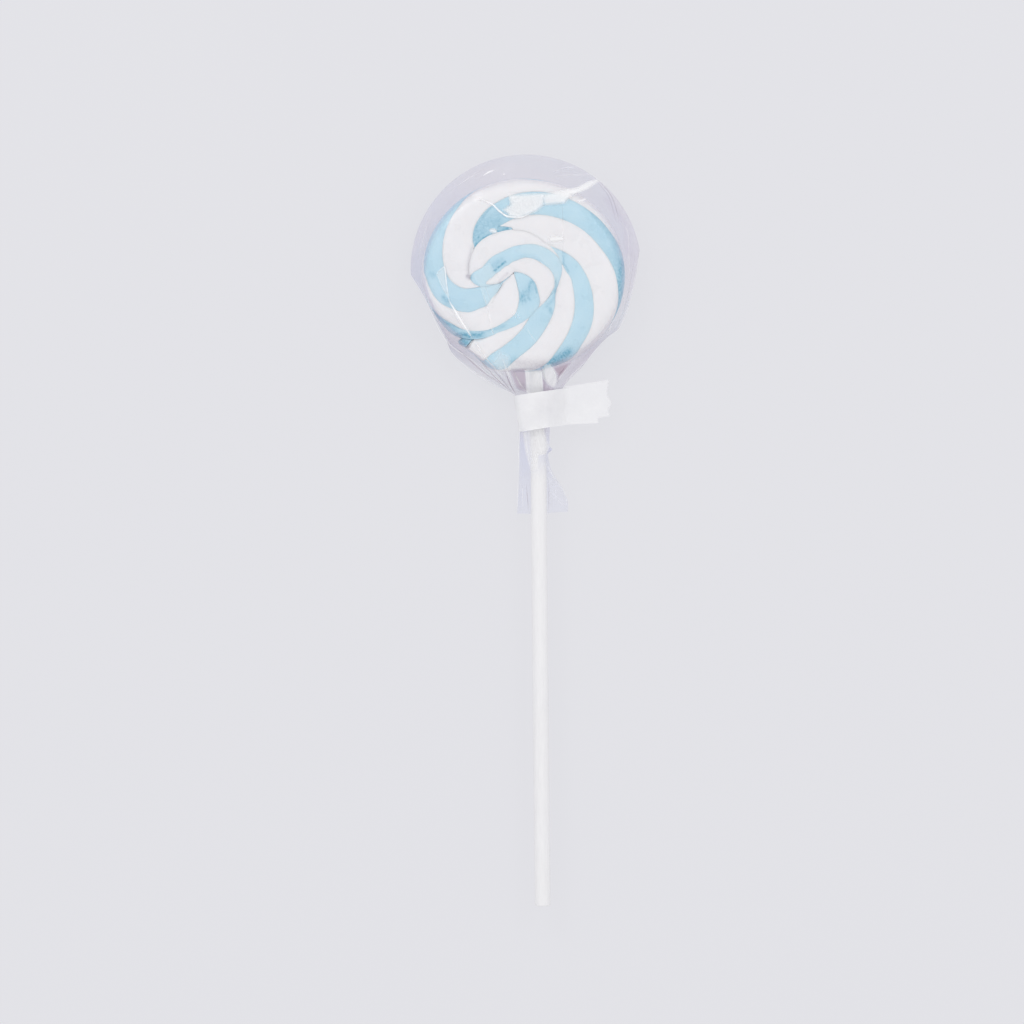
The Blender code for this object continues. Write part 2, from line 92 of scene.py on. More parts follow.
# Degrees along the coil, and how many strip edges have crossed the middle of the front face.
TWIST = (
    (-130, -0.9), (-121, 0), (-110, 0.5), (-101, 1.03), (-75, 2), (-38, 3), (-9, 4), (48, 5), (116, 6),
    (178, 7), (227, 8), (281, 9), (335, 10), (353, 10.5), (379, 10.87), (408, 11.2), (440, 11.65),
    (482, 11.85), (511, 11.7), (529, 11.5), (546, 11.05), (580, 10.6),
)
# How far strip edges 0 to 7 stray from the even twist: degrees along the coil, share of the way round.
STRAY_EDGES = (
    ((-130, 0.08), (-123.6, 0.12), (-122.3, -0.06), (-121.4, -0.2), (-110, -0.18), (-90, -0.06),
     (-72, -0.015), (-45, 0), (110, 0), (130, 0.03), (158, 0.07), (166, 0.07), (184, 0.018), (201, 0.03),
     (220, 0.035), (227.5, 0.003), (229.5, 0.002), (231.1, -0.015), (231.9, -0.04), (232.4, -0.085),
     (233.2, -0.18), (234, -0.225), (258, -0.17), (281, -0.12), (308, -0.068), (350, 0)),
    ((-130, 0.04), (-120, 0.08), (-111, 0.08), (-106, -0.005), (-82, -0.022), (-74, -0.04), (-69, -0.095),
     (-55, -0.06), (-38, 0), (215, 0), (231, 0.022), (255, 0.055), (271, 0.053), (278, 0.023),
     (284, -0.018), (287, -0.08), (291, -0.18), (308, -0.15), (353, -0.03), (379, 0), (529, 0),
     (578, -0.07)),
    ((-112, 0.06), (-100, 0.08), (-90, 0.01), (-83, 0), (-31, 0), (-26, 0.005), (-19, 0.018),
     (-14.5, 0.028), (-10, 0), (-6, -0.02), (10, 0), (225, 0), (260, 0.08), (280, 0.125), (296, 0.165),
     (303, 0.125), (310, 0.07), (322, 0.015), (352, -0.02), (368, -0.045), (400, -0.04), (440, 0), (511, 0),
     (546, -0.1), (578, -0.15)),
    ((-110, 0), (-80, 0.05), (-61, 0.011), (-38, -0.003), (-14, 0.016), (-8, 0.018), (-4, 0.013),
     (0, 0.002), (4, -0.008), (7.5, -0.012), (10, -0.035), (12, -0.08), (42, -0.045), (80, 0), (255, 0),
     (270, 0.025), (280, 0.045), (295, 0.085), (306, 0.02), (316, 0.018), (330, 0.014), (334, 0.018),
     (340, 0.038), (345, 0.038), (353, 0.04), (358, 0.035), (364, 0.027), (379, 0.01), (415, 0.008),
     (464, 0.02), (519, 0.004), (547, -0.02), (560, 0.05)),
    ((-90, 0), (-62, 0.03), (-55, 0.005), (-46, -0.021), (-15, -0.007), (3, -0.026), (25, -0.06),
     (36, -0.09), (42, -0.13), (60, -0.095), (86, -0.05), (90.5, -0.02), (91.8, 0.048), (94.7, 0.064),
     (98.7, 0.081), (102.7, 0.097), (105, 0.106), (107.3, 0.114), (113, 0.065), (120, 0.013), (126, -0.03),
     (150, -0.02), (165, 0), (335, 0), (353, 0.06), (366, 0.085), (378, 0.035), (391, 0.009), (426, -0.011),
     (528, -0.016), (546, 0.05)),
    ((-130, -0.06), (-108, 0), (-40, 0), (-25, 0.03), (0, 0.015), (19, -0.005), (87, -0.009), (98, -0.014),
     (105, -0.014), (107.3, -0.014), (113, -0.063), (120, -0.115), (126, -0.112), (150, -0.1), (180, -0.04),
     (225, 0), (395, 0), (408, 0.035), (440, 0.095), (482, 0.12), (511, 0.1), (546, 0.02), (562, 0)),
    ((-130, -0.155), (-123, -0.12), (-110, -0.045), (-100, 0), (-10, 0), (3, 0.02), (23, -0.015),
     (80, 0.008), (108, 0.002), (126, -0.016), (141, -0.06), (152, -0.165), (178, -0.115), (203, -0.095),
     (240, -0.055), (275, 0), (400, 0), (440, 0.03), (482, 0.05), (546, 0)),
    ((-130, -0.2), (-123, -0.2), (-110, -0.105), (-85, 0), (75, 0), (92, 0.055), (112, 0.08), (121, 0.048),
     (130, 0.023), (151, 0.009), (183, -0.006), (191, -0.018), (197, -0.035), (200, -0.075), (203, -0.16),
     (240, -0.13), (258, -0.1), (281, -0.04), (300, 0)),
)
SECTION_POWER = 3.0           # roundness of the rope's section
SEAM = -0.3 * MM              # the turns are pressed together
SEAM_DIP = 0.3 * MM           # depth of the groove between two turns
SEAM_REACH = 0.9 * MM         # how far from the seam the groove reaches
CONTACT_START = (222, 240)    # degrees over which the outer side comes into contact
CORE_RADIUS = 0.08 * MM       # what is left open at the middle of the coil
# Degrees by which the sugar near the middle of the coil is dragged back round the rope's end.
DRAG = ((218, 0), (232, 13.3), (240, 13.3), (262, 6), (285, 0))
DRAG_REACH = 5 * MM           # it is dragged this far from the middle, and fades over the next
DRAG_FADE = 1.2 * MM
WHITE_DIP = 0.3 * MM          # how far a strip's rounded edge lies below its crown
BLUE_DIP = 0.1 * MM           # how far blue crowns lie below white ones
NARROW = 0.06                 # strips narrower than this share of the way round have shallower edges
SLIVER = 0.006                # white strips narrower than this share sink below the blue ones
SLIVER_SINK = 0.4 * MM
GROOVE_DEPTH = 1.2 * MM       # depth of the white rope under a blue strip
BLUE_DEPTH = GROOVE_DEPTH - 0.05 * MM
END_TAPER = 24                # degrees over which the rope thins out towards each end
START_THICKNESS = 0.6         # share of the thickness that is left at the outer end
END_THICKNESS = 0.98          # and at the inner end
END_ROUNDING = 3.0            # degrees over which the cut outer end rounds off
END_WIDTH = 0.25              # share of the width that is left at the cut
WALL_ROUNDING = 0.12          # how softly the flat wall between two turns meets the front
CROWN_FADE = 0.05             # share of the half width over which crowns fade at that wall

# ---- sizes of the wrapper
FILM_RADIUS = 34.1 * MM
FILM_CENTRE = (0.75 * MM, 1.5 * MM)
FILM_OFFSET = 0.45 * MM       # from the candy to the outside of the film
FILM_SLOPE = 1.15             # how steeply it rises from its folded edges
# The folded edges below the round part: y and x in mm.
FILM_LEFT = ((0.4, -33.3), (-5.2, -29.9), (-12.9, -26.1), (-19.5, -22.8), (-22.1, -21.8), (-28, -15.5),
             (-32.4, -9), (-35.8, -2.6), (-41.5, -1.1), (-46.5, -1.5), (-60, -1.9), (-70.5, -2.6))
FILM_RIGHT = ((6.9, 34.4), (-4.8, 32.3), (-15.9, 28.1), (-19, 24.2), (-23, 20.4), (-27, 17.3),
              (-33.6, 11.2), (-45, 7.4), (-50.5, 7.2), (-51.6, 8), (-53, 6.7), (-57, 7.4),
              (-63.7, 11.2), (-67.8, 12.5), (-70.5, 12.5))
# How far the free film can rise beside its edges: y and half height in mm.
FILM_FULLNESS = ((-18, 7.9), (-24, 7.4), (-29, 5.6), (-34, 3.6), (-46, 3), (-54, 2.2), (-71, 1.5))
ROPE_HALF_WIDTH = 6.8 * MM    # of the turn that the film bends down over
FRONT_TAIL_END = -60.2 * MM   # where the shorter front layer is cut
FRONT_TAIL_FADE = 8 * MM      # the front layer thins out over this length
TAIL_START = -46.5 * MM       # below this the two layers' rows drift apart
NECK = (3.9, -38.0)           # mm, the point that the film is gathered to


def through(rows, at):
    """Values at some places of a smooth curve through (place, value) rows."""
    table = np.array(sorted(rows), float)
    places, values = table[:, 0], table[:, 1]
    at = np.clip(np.asarray(at, float), places[0], places[-1])
    steps = np.diff(places)
    rises = np.diff(values) / steps
    before, after = rises[:-1], rises[1:]
    total = np.where(before * after > 0, before + after, 1.0)
    inner = np.where(before * after > 0, 2 * before * after / total, 0.0)
    slopes = np.concatenate(([rises[0]], inner, [rises[-1]]))
    i = np.clip(np.searchsorted(places, at) - 1, 0, len(steps) - 1)
    t = (at - places[i]) / steps[i]
    near, far = slopes[i] * steps[i], slopes[i + 1] * steps[i]
    return (values[i] * (1 + 2 * t) * (1 - t) ** 2 + near * t * (1 - t) ** 2
            + values[i + 1] * t * t * (3 - 2 * t) + far * t * t * (t - 1))


def kept(value, low=0):
    """A value kept between a limit and 1."""
    return min(max(value, low), 1)


# ---- meshes

def add_piece(name, points, faces, finish, smooth_angle=180, values=None, replaces=()):
    """Make a mesh piece that rides on the lollipop, with named values at its points."""
    mesh = bpy.data.meshes.new(name)
    mesh.from_pydata([tuple(point) for point in points], [], faces)
    mesh.validate()
    for label, numbers in (values or {}).items():
        layer = mesh.attributes.new(label, "FLOAT", "POINT")
        layer.data.foreach_set("value", np.asarray(numbers, np.float32))
    mesh.materials.append(finish)
    piece = bpy.data.objects.new(name, mesh)
    bpy.context.scene.collection.objects.link(piece)
    mesh.shade_smooth()
    if smooth_angle < 180:
        mesh.set_sharp_from_angle(angle=math.radians(smooth_angle))
    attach(piece, "root")
    if replaces:
        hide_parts(*replaces)
    return piece


def outward(piece):
    """Turn a closed piece's faces outwards."""
    bm = bmesh.new()
    bm.from_mesh(piece.data)
    bmesh.ops.recalc_face_normals(bm, faces=bm.faces)
    bm.to_mesh(piece.data)
    bm.free()


def loft_faces(rings, size, closed=True, start=0):
    """Faces between rings of points, each ring closed or open, from the point numbered start."""
    faces = []
    for base in range(start, start + (rings - 1) * size, size):
        for i in range(size if closed else size - 1):
            j = (i + 1) % size
            faces.append((base + i, base + j, base + size + j, base + size + i))
    return faces


def fan_cap(points, faces, ring):
    """Close a ring with triangles to its middle."""
    middle = len(points)
    points.append(np.mean([points[i] for i in ring], axis=0))
    faces += [(a, b, middle) for a, b in zip(ring, ring[1:] + ring[:1])]


# ---- materials

def new_material(name):
    """Empty node material: the material, its nodes, its surface input and the place on the piece."""
    made = bpy.data.materials.new(name)
    made.use_nodes = True
    tree = made.node_tree
    tree.nodes.clear()
    surface = node(tree, "OutputMaterial").inputs["Surface"]
    return made, tree, surface, node(tree, "TexCoord").outputs["Object"]


def feed(tree, socket, value):
    """Set a node's input to a value, or link it to another node or one of its outputs."""
    if isinstance(value, bpy.types.Node):
        value = value.outputs[0]
    if isinstance(value, bpy.types.NodeSocket):
        tree.links.new(value, socket)
    else:
        socket.default_value = value


def node(tree, kind, settings=None, **inputs):
    """Add a node, set its properties and its named inputs."""
    made = tree.nodes.new("ShaderNode" + kind)
    for key, value in (settings or {}).items():
        setattr(made, key, value)
    for key, value in inputs.items():
        feed(tree, made.inputs[key.replace("_", " ")], value)
    return made


def mottle(tree, place, scale, detail, roughness=0.5):
    """Smooth noise, between 0 and 1."""
    inputs = {"Vector": place, "Scale": scale, "Detail": detail, "Roughness": roughness}
    return node(tree, "TexNoise", **inputs).outputs["Fac"]


def ramp(tree, source, low, high, start, end):
    """Map a value between two limits to the range from start to end."""
    limits = {"From_Min": low, "From_Max": high, "To_Min": start, "To_Max": end}
    return node(tree, "MapRange", Value=source, **limits).outputs["Result"]


def mixed(tree, share, first, second):
    """Mix two colours; each is a socket or red, green and blue."""
    made = node(tree, "Mix", {"data_type": "RGBA"})
    feed(tree, made.inputs[0], share)
    for place, colour in ((6, first), (7, second)):
        feed(tree, made.inputs[place], (*colour, 1) if isinstance(colour, tuple) else colour)
    return made.outputs[2]


def arithmetic(tree, operation, first, second):
    """Two values added, multiplied or compared, kept between 0 and 1."""
    made = node(tree, "Math", {"operation": operation, "use_clamp": True})
    feed(tree, made.inputs[0], first)
    feed(tree, made.inputs[1], second)
    return made.outputs[0]


def attribute(tree, name):
    """A value stored at the piece's points."""
    return node(tree, "Attribute", {"attribute_name": name}).outputs["Fac"]


def sugar(name, main, pale, deep, shaded, fibre):
    """Pulled sugar: fine fibres along the strip, soft clouds, painted shade and a smooth gloss, in four
    colours.
    """
    made, tree, surface, place = new_material(name)
    strip = node(tree, "CombineXYZ", X=attribute(tree, "across"), Y=attribute(tree, "along"))
    strands = node(tree, "Mapping", Vector=strip, Scale=(34, 0.55, 1))
    fibres = mottle(tree, strands, 1, 3, 0.6)
    clouds = mottle(tree, place, 130, 3, 0.55)
    colour = mixed(tree, ramp(tree, clouds, 0.35, 0.7, 0, 1), main, pale)
    colour = mixed(tree, ramp(tree, fibres, 0.48, 0.8, 0, fibre), colour, deep)
    speck = mottle(tree, place, 1500, 4, 0.65)
    # Painted shade: the points' shade value, broken up by fine specks, mixes in the fourth, shaded colour.
    depth = arithmetic(tree, "MULTIPLY", attribute(tree, "shade"), ramp(tree, speck, 0.35, 0.65, 0.45, 1.4))
    colour = mixed(tree, depth, colour, shaded)
    grain = mottle(tree, place, 2600, 2)
    relief = arithmetic(tree, "ADD", fibres, ramp(tree, grain, 0, 1, 0, 0.12))
    bump = node(tree, "Bump", Strength=0.22, Distance=0.12 * MM, Height=relief)
    rough = ramp(tree, clouds, 0.3, 0.7, 0.24, 0.38)
    shader = node(tree, "BsdfPrincipled", Base_Color=colour, Roughness=rough, Normal=bump,
                  IOR=1.5, Subsurface_Weight=0.25, Subsurface_Radius=(1, 0.9, 0.85),
                  Subsurface_Scale=1.2 * MM)
    feed(tree, surface, shader)
    return made


def layered(tree, share, under, over):
    """Mix two surfaces."""
    made = node(tree, "MixShader", Fac=share)
    feed(tree, made.inputs[1], under)
    feed(tree, made.inputs[2], over)
    return made


def see_through(tree, cover, body):
    """Mix a surface with clear air."""
    return layered(tree, cover, node(tree, "BsdfTransparent", Color=(1, 1, 1, 1)), body)


MOST_GLOSS = 0.07             # the film's reflection stays this weak where it is seen edge on
WHITE_FROM = 10.0             # how fast hazed film and painted highlights turn from lilac to white


def clear_film():
    """Clear film: a lilac cast where it hangs free, white where creased and as painted highlights, and
    painted mauve shade and reflection where doubled in folds.
    """
    made, tree, surface, place = new_material("clear_film")
    cloud = mottle(tree, place, 70, 4, 0.6)
    hue = mottle(tree, place, 38, 1)
    speck = mottle(tree, place, 3600, 3)
    veil = arithmetic(tree, "MULTIPLY", attribute(tree, "veil"), ramp(tree, cloud, 0.3, 0.7, 0.75, 1.25))
    # Speckle breaks the white into fine holes, for the sparkle of the painted highlights.
    holes = arithmetic(tree, "MULTIPLY", attribute(tree, "speckle"), ramp(tree, speck, 0.42, 0.6, 0.75, 0))
    haze_and_highlight = arithmetic(tree, "SUBTRACT", attribute(tree, "haze_and_highlight"), holes)
    mauve_shade = attribute(tree, "mauve_shade")
    lilac = mixed(tree, ramp(tree, hue, 0.42, 0.6, 0, 1), (0.50, 0.50, 0.76), (0.52, 0.44, 0.64))
    lilac = mixed(tree, attribute(tree, "warm"), lilac, (0.53, 0.48, 0.63))
    tone = mixed(tree, attribute(tree, "cool"), lilac, (0.52, 0.57, 0.86))
    # Painted mauve shade and reflection in the folds.
    tone = mixed(tree, mauve_shade, tone, (0.46, 0.36, 0.42))
    # White haze and painted highlights.
    tone = mixed(tree, arithmetic(tree, "MULTIPLY", haze_and_highlight, WHITE_FROM), tone, (0.97, 0.97, 0.98))
    body = node(tree, "BsdfPrincipled", Base_Color=tone, Roughness=0.4)
    sheet = see_through(tree, arithmetic(tree, "ADD", arithmetic(tree, "ADD", veil, haze_and_highlight), mauve_shade), body)
    bump = node(tree, "Bump", Strength=0.2, Distance=0.2 * MM, Height=mottle(tree, place, 420, 3))
    gloss = node(tree, "BsdfGlossy", Color=(1, 1, 1, 1), Roughness=0.12, Normal=bump)
    mirror = node(tree, "Fresnel", IOR=1.28, Normal=bump)
    feed(tree, surface, layered(tree, arithmetic(tree, "MINIMUM", mirror, MOST_GLOSS), sheet, gloss))
    return made


def crease_glint_and_shade():
    """Sharp crease in the film: a thin line, white as a painted highlight or mauve as painted shade, that
    fades at its edges.
    """
    made, tree, surface, place = new_material("crease_glint_and_shade")
    broken = ramp(tree, mottle(tree, place, 900, 2), 0.3, 0.7, 0.85, 1.15)
    # White for a painted highlight, mauve for painted shade.
    tone = mixed(tree, attribute(tree, "mauve_shade"), (0.99, 0.99, 1), (0.44, 0.36, 0.43))
    body = node(tree, "BsdfPrincipled", Base_Color=tone, Roughness=0.3)
    cover = arithmetic(tree, "MULTIPLY", attribute(tree, "haze_and_highlight"), broken)
    feed(tree, surface, see_through(tree, cover, body))
    return made


def white_tape():
    """Matt translucent tape with faint clouds, denser round the neck."""
    made, tree, surface, place = new_material("white_tape")
    cloud = mottle(tree, place, 160, 4, 0.55)
    tone = mixed(tree, ramp(tree, cloud, 0.3, 0.7, 0, 1), (0.92, 0.92, 0.935), (0.94, 0.94, 0.95))
    bump = node(tree, "Bump", Strength=0.3, Distance=0.05 * MM, Height=mottle(tree, place, 3000, 2))
    body = node(tree, "BsdfPrincipled", Base_Color=tone, Roughness=0.55, Normal=bump)
    cover = arithmetic(tree, "MULTIPLY", attribute(tree, "cover"), ramp(tree, cloud, 0.3, 0.7, 0.94, 1.06))
    feed(tree, surface, see_through(tree, cover, body))
    return made


def white_paper():
    """Rolled paper: matt, with fine fibres along the stick."""
    made, tree, surface, place = new_material("paper_stick")
    long = node(tree, "Mapping", Vector=place, Scale=(2400, 160, 2400))
    fibre = mottle(tree, long, 1, 4, 0.65)
    cloud = mottle(tree, place, 60, 2)
    tone = mixed(tree, ramp(tree, fibre, 0.3, 0.75, 0, 1), (0.83, 0.825, 0.84), (0.90, 0.895, 0.905))
    tone = mixed(tree, ramp(tree, cloud, 0.4, 0.7, 0, 0.25), tone, (0.86, 0.85, 0.85))
    bump = node(tree, "Bump", Strength=0.35, Distance=0.06 * MM, Height=fibre)
    body = node(tree, "BsdfPrincipled", Base_Color=tone, Roughness=0.7, Normal=bump)
    feed(tree, surface, body)
    return made


# ---- candy

def rim_distance(degrees):
    """Distance from the coil's centre to the candy's oval rim."""
    a, b = CANDY_WIDTH / 2, CANDY_HEIGHT / 2
    x, y = COIL_CENTRE
    c, s = np.cos(np.radians(degrees)), np.sin(np.radians(degrees))
    square = (c / a) ** 2 + (s / b) ** 2
    half = x * c / a ** 2 + y * s / b ** 2
    rest = (x / a) ** 2 + (y / b) ** 2 - 1
    return (-half + np.sqrt(half ** 2 - square * rest)) / square


def coil_edge(degrees):
    """Distance from the coil's centre to the rope's outer edge."""
    degrees = np.asarray(degrees, float)
    rim = rim_distance(degrees) * through(START_EDGE, degrees)
    return np.where(degrees <= COIL_EDGE[0][0], rim, through(COIL_EDGE, degrees) * MM)


def strip_edge(number, degrees):
    """Share of the way round the rope at which a strip starts."""
    stray = float(through(STRAY_EDGES[number % STRIPS_ROUND], degrees))
    return FRONT_MIDDLE + (number - float(through(TWIST, degrees))) / STRIPS_ROUND + stray


class Section:
    """The rope's cross-section at one place along the coil."""

    def __init__(self, degrees):
        inner = float(coil_edge(degrees + 360)) + SEAM / 2
        outer = float(coil_edge(degrees)) - SEAM / 2
        from_start = degrees < (ROPE_START + ROPE_END) / 2
        end = degrees - ROPE_START if from_start else ROPE_END - degrees
        thin = START_THICKNESS if from_start else END_THICKNESS
        full = math.sin(kept(end / END_TAPER) * math.pi / 2)
        blunt = 1 - kept(end / END_ROUNDING) if from_start else 0
        taper = END_WIDTH + (1 - END_WIDTH) * math.sqrt(1 - blunt ** 2)
        self.angle = math.radians(degrees)
        self.drag = math.radians(float(through(DRAG, degrees)))
        self.inner, self.outer = inner, outer
        self.core = inner - CORE_RADIUS if degrees + 360 > ROPE_END else 0
        self.half_width = (outer - inner) / 2 * taper
        self.tall = (thin + (1 - thin) * full) * taper
        self.contact = kept((degrees - CONTACT_START[0]) / (CONTACT_START[1] - CONTACT_START[0]))
        turn = np.linspace(0, 2 * math.pi, 721)
        wide = np.abs(np.cos(turn)) ** (2 / SECTION_POWER)
        high = np.sign(np.sin(turn)) * np.abs(np.sin(turn)) ** (2 / SECTION_POWER) * CANDY_HALF * self.tall
        self.across = -np.sign(np.cos(turn)) * wide * self.half_width
        steps = np.hypot(np.diff(self.across), np.diff(high))
        self.share = np.append(0, np.cumsum(steps)) / steps.sum()
        groove = SEAM_DIP * np.exp(-(1 - wide) * self.half_width / SEAM_REACH)
        wall = np.clip(np.abs(np.sin(turn)) / WALL_ROUNDING, 0, 1)
        square = np.sign(high) * (CANDY_HALF * self.tall - groove) * wall
        self.up = high + (square - high) * np.where(self.across < 0, 1, self.contact)

    def points(self, shares, depths):
        """Points at shares of the way round from the inner side over the front, at depths."""
        def surface(at):
            return np.array([np.interp(at % 1, self.share, values) for values in (self.across, self.up)])

        along = surface(shares + 0.01) - surface(shares - 0.01)
        along /= np.linalg.norm(along, axis=0)
        across, up = surface(shares)
        contact = np.where(across < 0, 1, self.contact)
        room = np.clip((1 - np.abs(across) / self.half_width) / CROWN_FADE, 0, 1)
        shallow = depths < 0.8 * GROOVE_DEPTH
        depths = depths * np.where(shallow, 1 - contact * (1 - room), 1) * self.tall
        across = across + along[1] * depths
        up = up - along[0] * depths
        distance = (self.inner + self.outer) / 2 + across
        share = np.clip((distance - self.inner) / (self.outer - self.inner), 0, 1)
        distance = distance - self.core * (1 - share) ** 3
        drag = self.drag * np.exp(-np.maximum(distance - DRAG_REACH, 0) / DRAG_FADE)
        return np.column_stack((COIL_CENTRE[0] + distance * np.cos(self.angle - drag),
                                COIL_CENTRE[1] + distance * np.sin(self.angle - drag),
                                MID_Z + up))


CROWN_STEPS = np.linspace(0, 1, 17)          # places across the top of a strip
GROOVE_STEPS = np.linspace(0.06, 0.94, 5)    # places across the floor of a groove
WHITE_STEPS = np.concatenate((CROWN_STEPS, 1 + GROOVE_STEPS))
BLUE_STEPS = np.concatenate((CROWN_STEPS, GROOVE_STEPS[::-1]))


def crown(blue, dips):
    """Depths across a strip: a rounded crown that drops to its two edges."""
    edge = np.abs(2 * CROWN_STEPS - 1)
    low = BLUE_DIP if blue else 0
    dip = np.where(CROWN_STEPS < 0.5, dips[0], dips[1])
    return low + (dip - low) * edge ** 3


def edge_dip(number, degrees):
    """How deep a strip's edge lies: shallower between narrow strips."""
    before, here, after = (strip_edge(number + i, degrees) for i in (-1, 0, 1))
    return WHITE_DIP * kept(min(here - before, after - here) / NARROW, 0.1)


def rope_stations():
    """Places along the coil about half a millimetre apart, closer at its start."""
    places = [float(ROPE_START)]
    while places[-1] < ROPE_END:
        end = min(places[-1] - ROPE_START, ROPE_END - places[-1])
        reach = (coil_edge(places[-1]) + coil_edge(places[-1] + 360)) / 2
        stride = min(max(math.degrees(0.5 * MM / reach), 1), 2.5)
        places.append(places[-1] + stride * (0.3 if end < END_ROUNDING else 1))
    return ROPE_START + (np.array(places) - ROPE_START) * (ROPE_END - ROPE_START) / (places[-1] - ROPE_START)


# Painted shade on the front of the blue strips, in the pocket, along seams and edges and beside the white
# hook, and darker mottled blue near the middle: line in mm, half width in mm, strength.
BLUE_SHADES = (
    (((-13.4, 10.6), (-12.4, 13), (-10.4, 15.2), (-7.5, 15.6)), 3, 0.42),
    (((-14.2, 8.3), (-12, 10.4), (-8.3, 12.3), (-4.5, 13.4)), 0.6, 0.9),
    (((-14.4, 8), (-13.6, 10.2), (-13, 12.6)), 0.35, 0.8),
    (((-14.9, 9), (-14.6, 12), (-12.9, 15.8), (-9.2, 20)), 0.4, 0.55),
    (((-1, -7.4), (-0.2, -6.4), (1.6, -5), (2.6, -3.4)), 1.5, 0.3),
    (((-1, -7.6), (-0.6, -6.2), (1.2, -4.8), (2.2, -2.4), (2.6, -1.6)), 0.35, 0.75),
    (((-0.9, -7.8), (0.6, -7.4), (2, -7.2)), 0.3, 0.6),
    (((2.5, -1.4), (3.4, -3.2), (3.8, -5.4)), 0.3, 0.6),
    (((-8.6, 1.1), (-7.2, 2.3), (-5.4, 3.7)), 0.35, 1),
    (((-8.9, 2.4), (-6.6, 4.2)), 0.9, 0.3),
    (((-29, -4), (-27.4, -9), (-24, -13.2), (-19.6, -16.6)), 1.3, 0.3),
    (((-29.4, -3.5), (-28.5, -7), (-26.2, -11.4), (-23, -14.2), (-18.3, -15.6), (-13.9, -15.7)), 0.35,
     0.75),
    (((-19.5, -17.6), (-14.5, -18), (-12.5, -17.6)), 0.9, 0.85),
    (((-19.5, -19.8), (-16.6, -20.4)), 1.6, 0.9),
    (((-12, -16.9), (-6, -15.2)), 0.6, 0.35),
    (((29, 3), (28.2, -7), (25.8, -14.5), (23, -18.5)), 1.5, 0.65),
    (((21, 18.5), (27.2, 9), (28, -2)), 3.2, 0.3),
    (((6, -26), (9.5, -25.2), (13, -23)), 1.3, 0.85),
    (((11.5, 6.4), (11.7, 4.6), (11.8, 3.2), (12.5, 2.2), (13.3, 0.7)), 0.25, 0.45),
    (((12, 6.8), (12.2, 5.6)), 0.7, 0.25),
    (((9.3, -1.8), (9.6, -3.6), (9.4, -5.4)), 0.7, 0.4),
    (((7.7, -10.2), (7.9, -11.4)), 0.5, 0.5),
    (((-23.6, -6.6), (-22.4, -8)), 0.7, 0.55),
    (((-27.2, 0.6), (-26.6, 0)), 0.8, 0.35),
    (((-7.2, 14.2), (-5.2, 14), (-3.4, 13.8)), 0.5, 0.6),
    (((14.7, -9.2), (14.2, -13), (12.4, -16.6)), 0.3, 0.4),
)
# The same painted shade, on the white rope and the blue strips alike.
SHADES = (
    (((-16.4, -0.4), (-16, -0.8)), 0.6, 1.6),
    (((-7.3, -2.3), (-6.1, -0.8), (-4.7, 0.3)), 0.45, 0.45),
    (((-3, -25.8), (2, -26.6), (5.5, -26.4)), 1.5, 0.5),
    (((-15.2, 8), (-16.2, 4), (-16.4, 0.6)), 0.5, 0.5),
    (((6.6, -9.6), (8.6, -7.6), (9.6, -5)), 0.5, 0.3),
)


def candy_shade(points, blue):
    """How much painted shade the candy gets at its points, on its front only."""
    x, y = points[:, 0] / MM, points[:, 1] / MM
    total = np.zeros(len(points))
    for line, width, strength in SHADES + (BLUE_SHADES if blue else ()):
        total = np.maximum(total, strength * np.exp(-(polyline_distance(x, y, line) / width) ** 2))
    return np.where(points[:, 2] > MID_Z, total, 0)


def rope_piece(name, rings, across, along, finish, replaces):
    """Closed piece through rings of points; across and along are their places in the fibres."""
    size, total = len(rings[0]), len(rings) * len(rings[0])
    points = [point for ring in rings for point in ring]
    faces = loft_faces(len(rings), size)
    fan_cap(points, faces, list(range(size)))
    fan_cap(points, faces, list(range(total - size, total)))
    values = {"across": np.append(np.tile(across, len(rings)), (0, 0)),
              "along": np.append(np.repeat(along, size), (0, 0)),
              "shade": candy_shade(np.array(points), "blue" in name)}
    piece = add_piece(name, points, faces, finish, 60, values, replaces)
    outward(piece)
    return piece


def make_candy():
    """The white rope and the four blue strips that lie in its grooves."""
    places = rope_stations()
    pairs = range(0, STRIPS_ROUND, 2)
    white_rings, blue_rings, travelled = [], {number: [] for number in pairs}, [0]
    for k, degrees in enumerate(places):
        section = Section(degrees)
        if k:
            stride = math.radians(degrees - places[k - 1]) * (section.inner + section.outer) / 2 / MM
            travelled.append(travelled[-1] + stride)
        shares, depths = [], []
        for number in pairs:
            start, end, after = (strip_edge(number + i, degrees) for i in range(3))
            low = [edge_dip(number + i, degrees) for i in range(3)]
            sink = SLIVER_SINK * kept(1 - (end - start) / SLIVER)
            shares += [start + (end - start) * CROWN_STEPS, end + (after - end) * GROOVE_STEPS]
            depths += [crown(False, low) + sink, np.full(len(GROOVE_STEPS), GROOVE_DEPTH)]
            blue_depths = np.append(crown(True, low[1:]), np.full(len(GROOVE_STEPS), BLUE_DEPTH))
            blue_rings[number].append(section.points(end + (after - end) * BLUE_STEPS, blue_depths))
        white_rings.append(section.points(np.concatenate(shares), np.concatenate(depths)))
    # The fourth colour of each sugar is its painted shade colour.
    white = sugar("white_candy", (0.85, 0.845, 0.86), (0.885, 0.88, 0.895), (0.80, 0.79, 0.82),
                  (0.58, 0.56, 0.61), 0.35)
    blue = sugar("blue_candy", (0.515, 0.73, 0.84), (0.58, 0.78, 0.88), (0.43, 0.66, 0.80),
                 (0.13, 0.40, 0.55), 0.5)
    across = np.concatenate([number + WHITE_STEPS for number in pairs])
    rope = rope_piece("white_rope", white_rings, across, travelled, white, ["candy_white"])
    for k, number in enumerate(pairs):
        strip = rope_piece(f"blue_strip_{k + 1}", blue_rings[number], number + 1 + BLUE_STEPS, travelled,
                           blue, [f"candy_blue_{k + 1}"])


# ---- stick

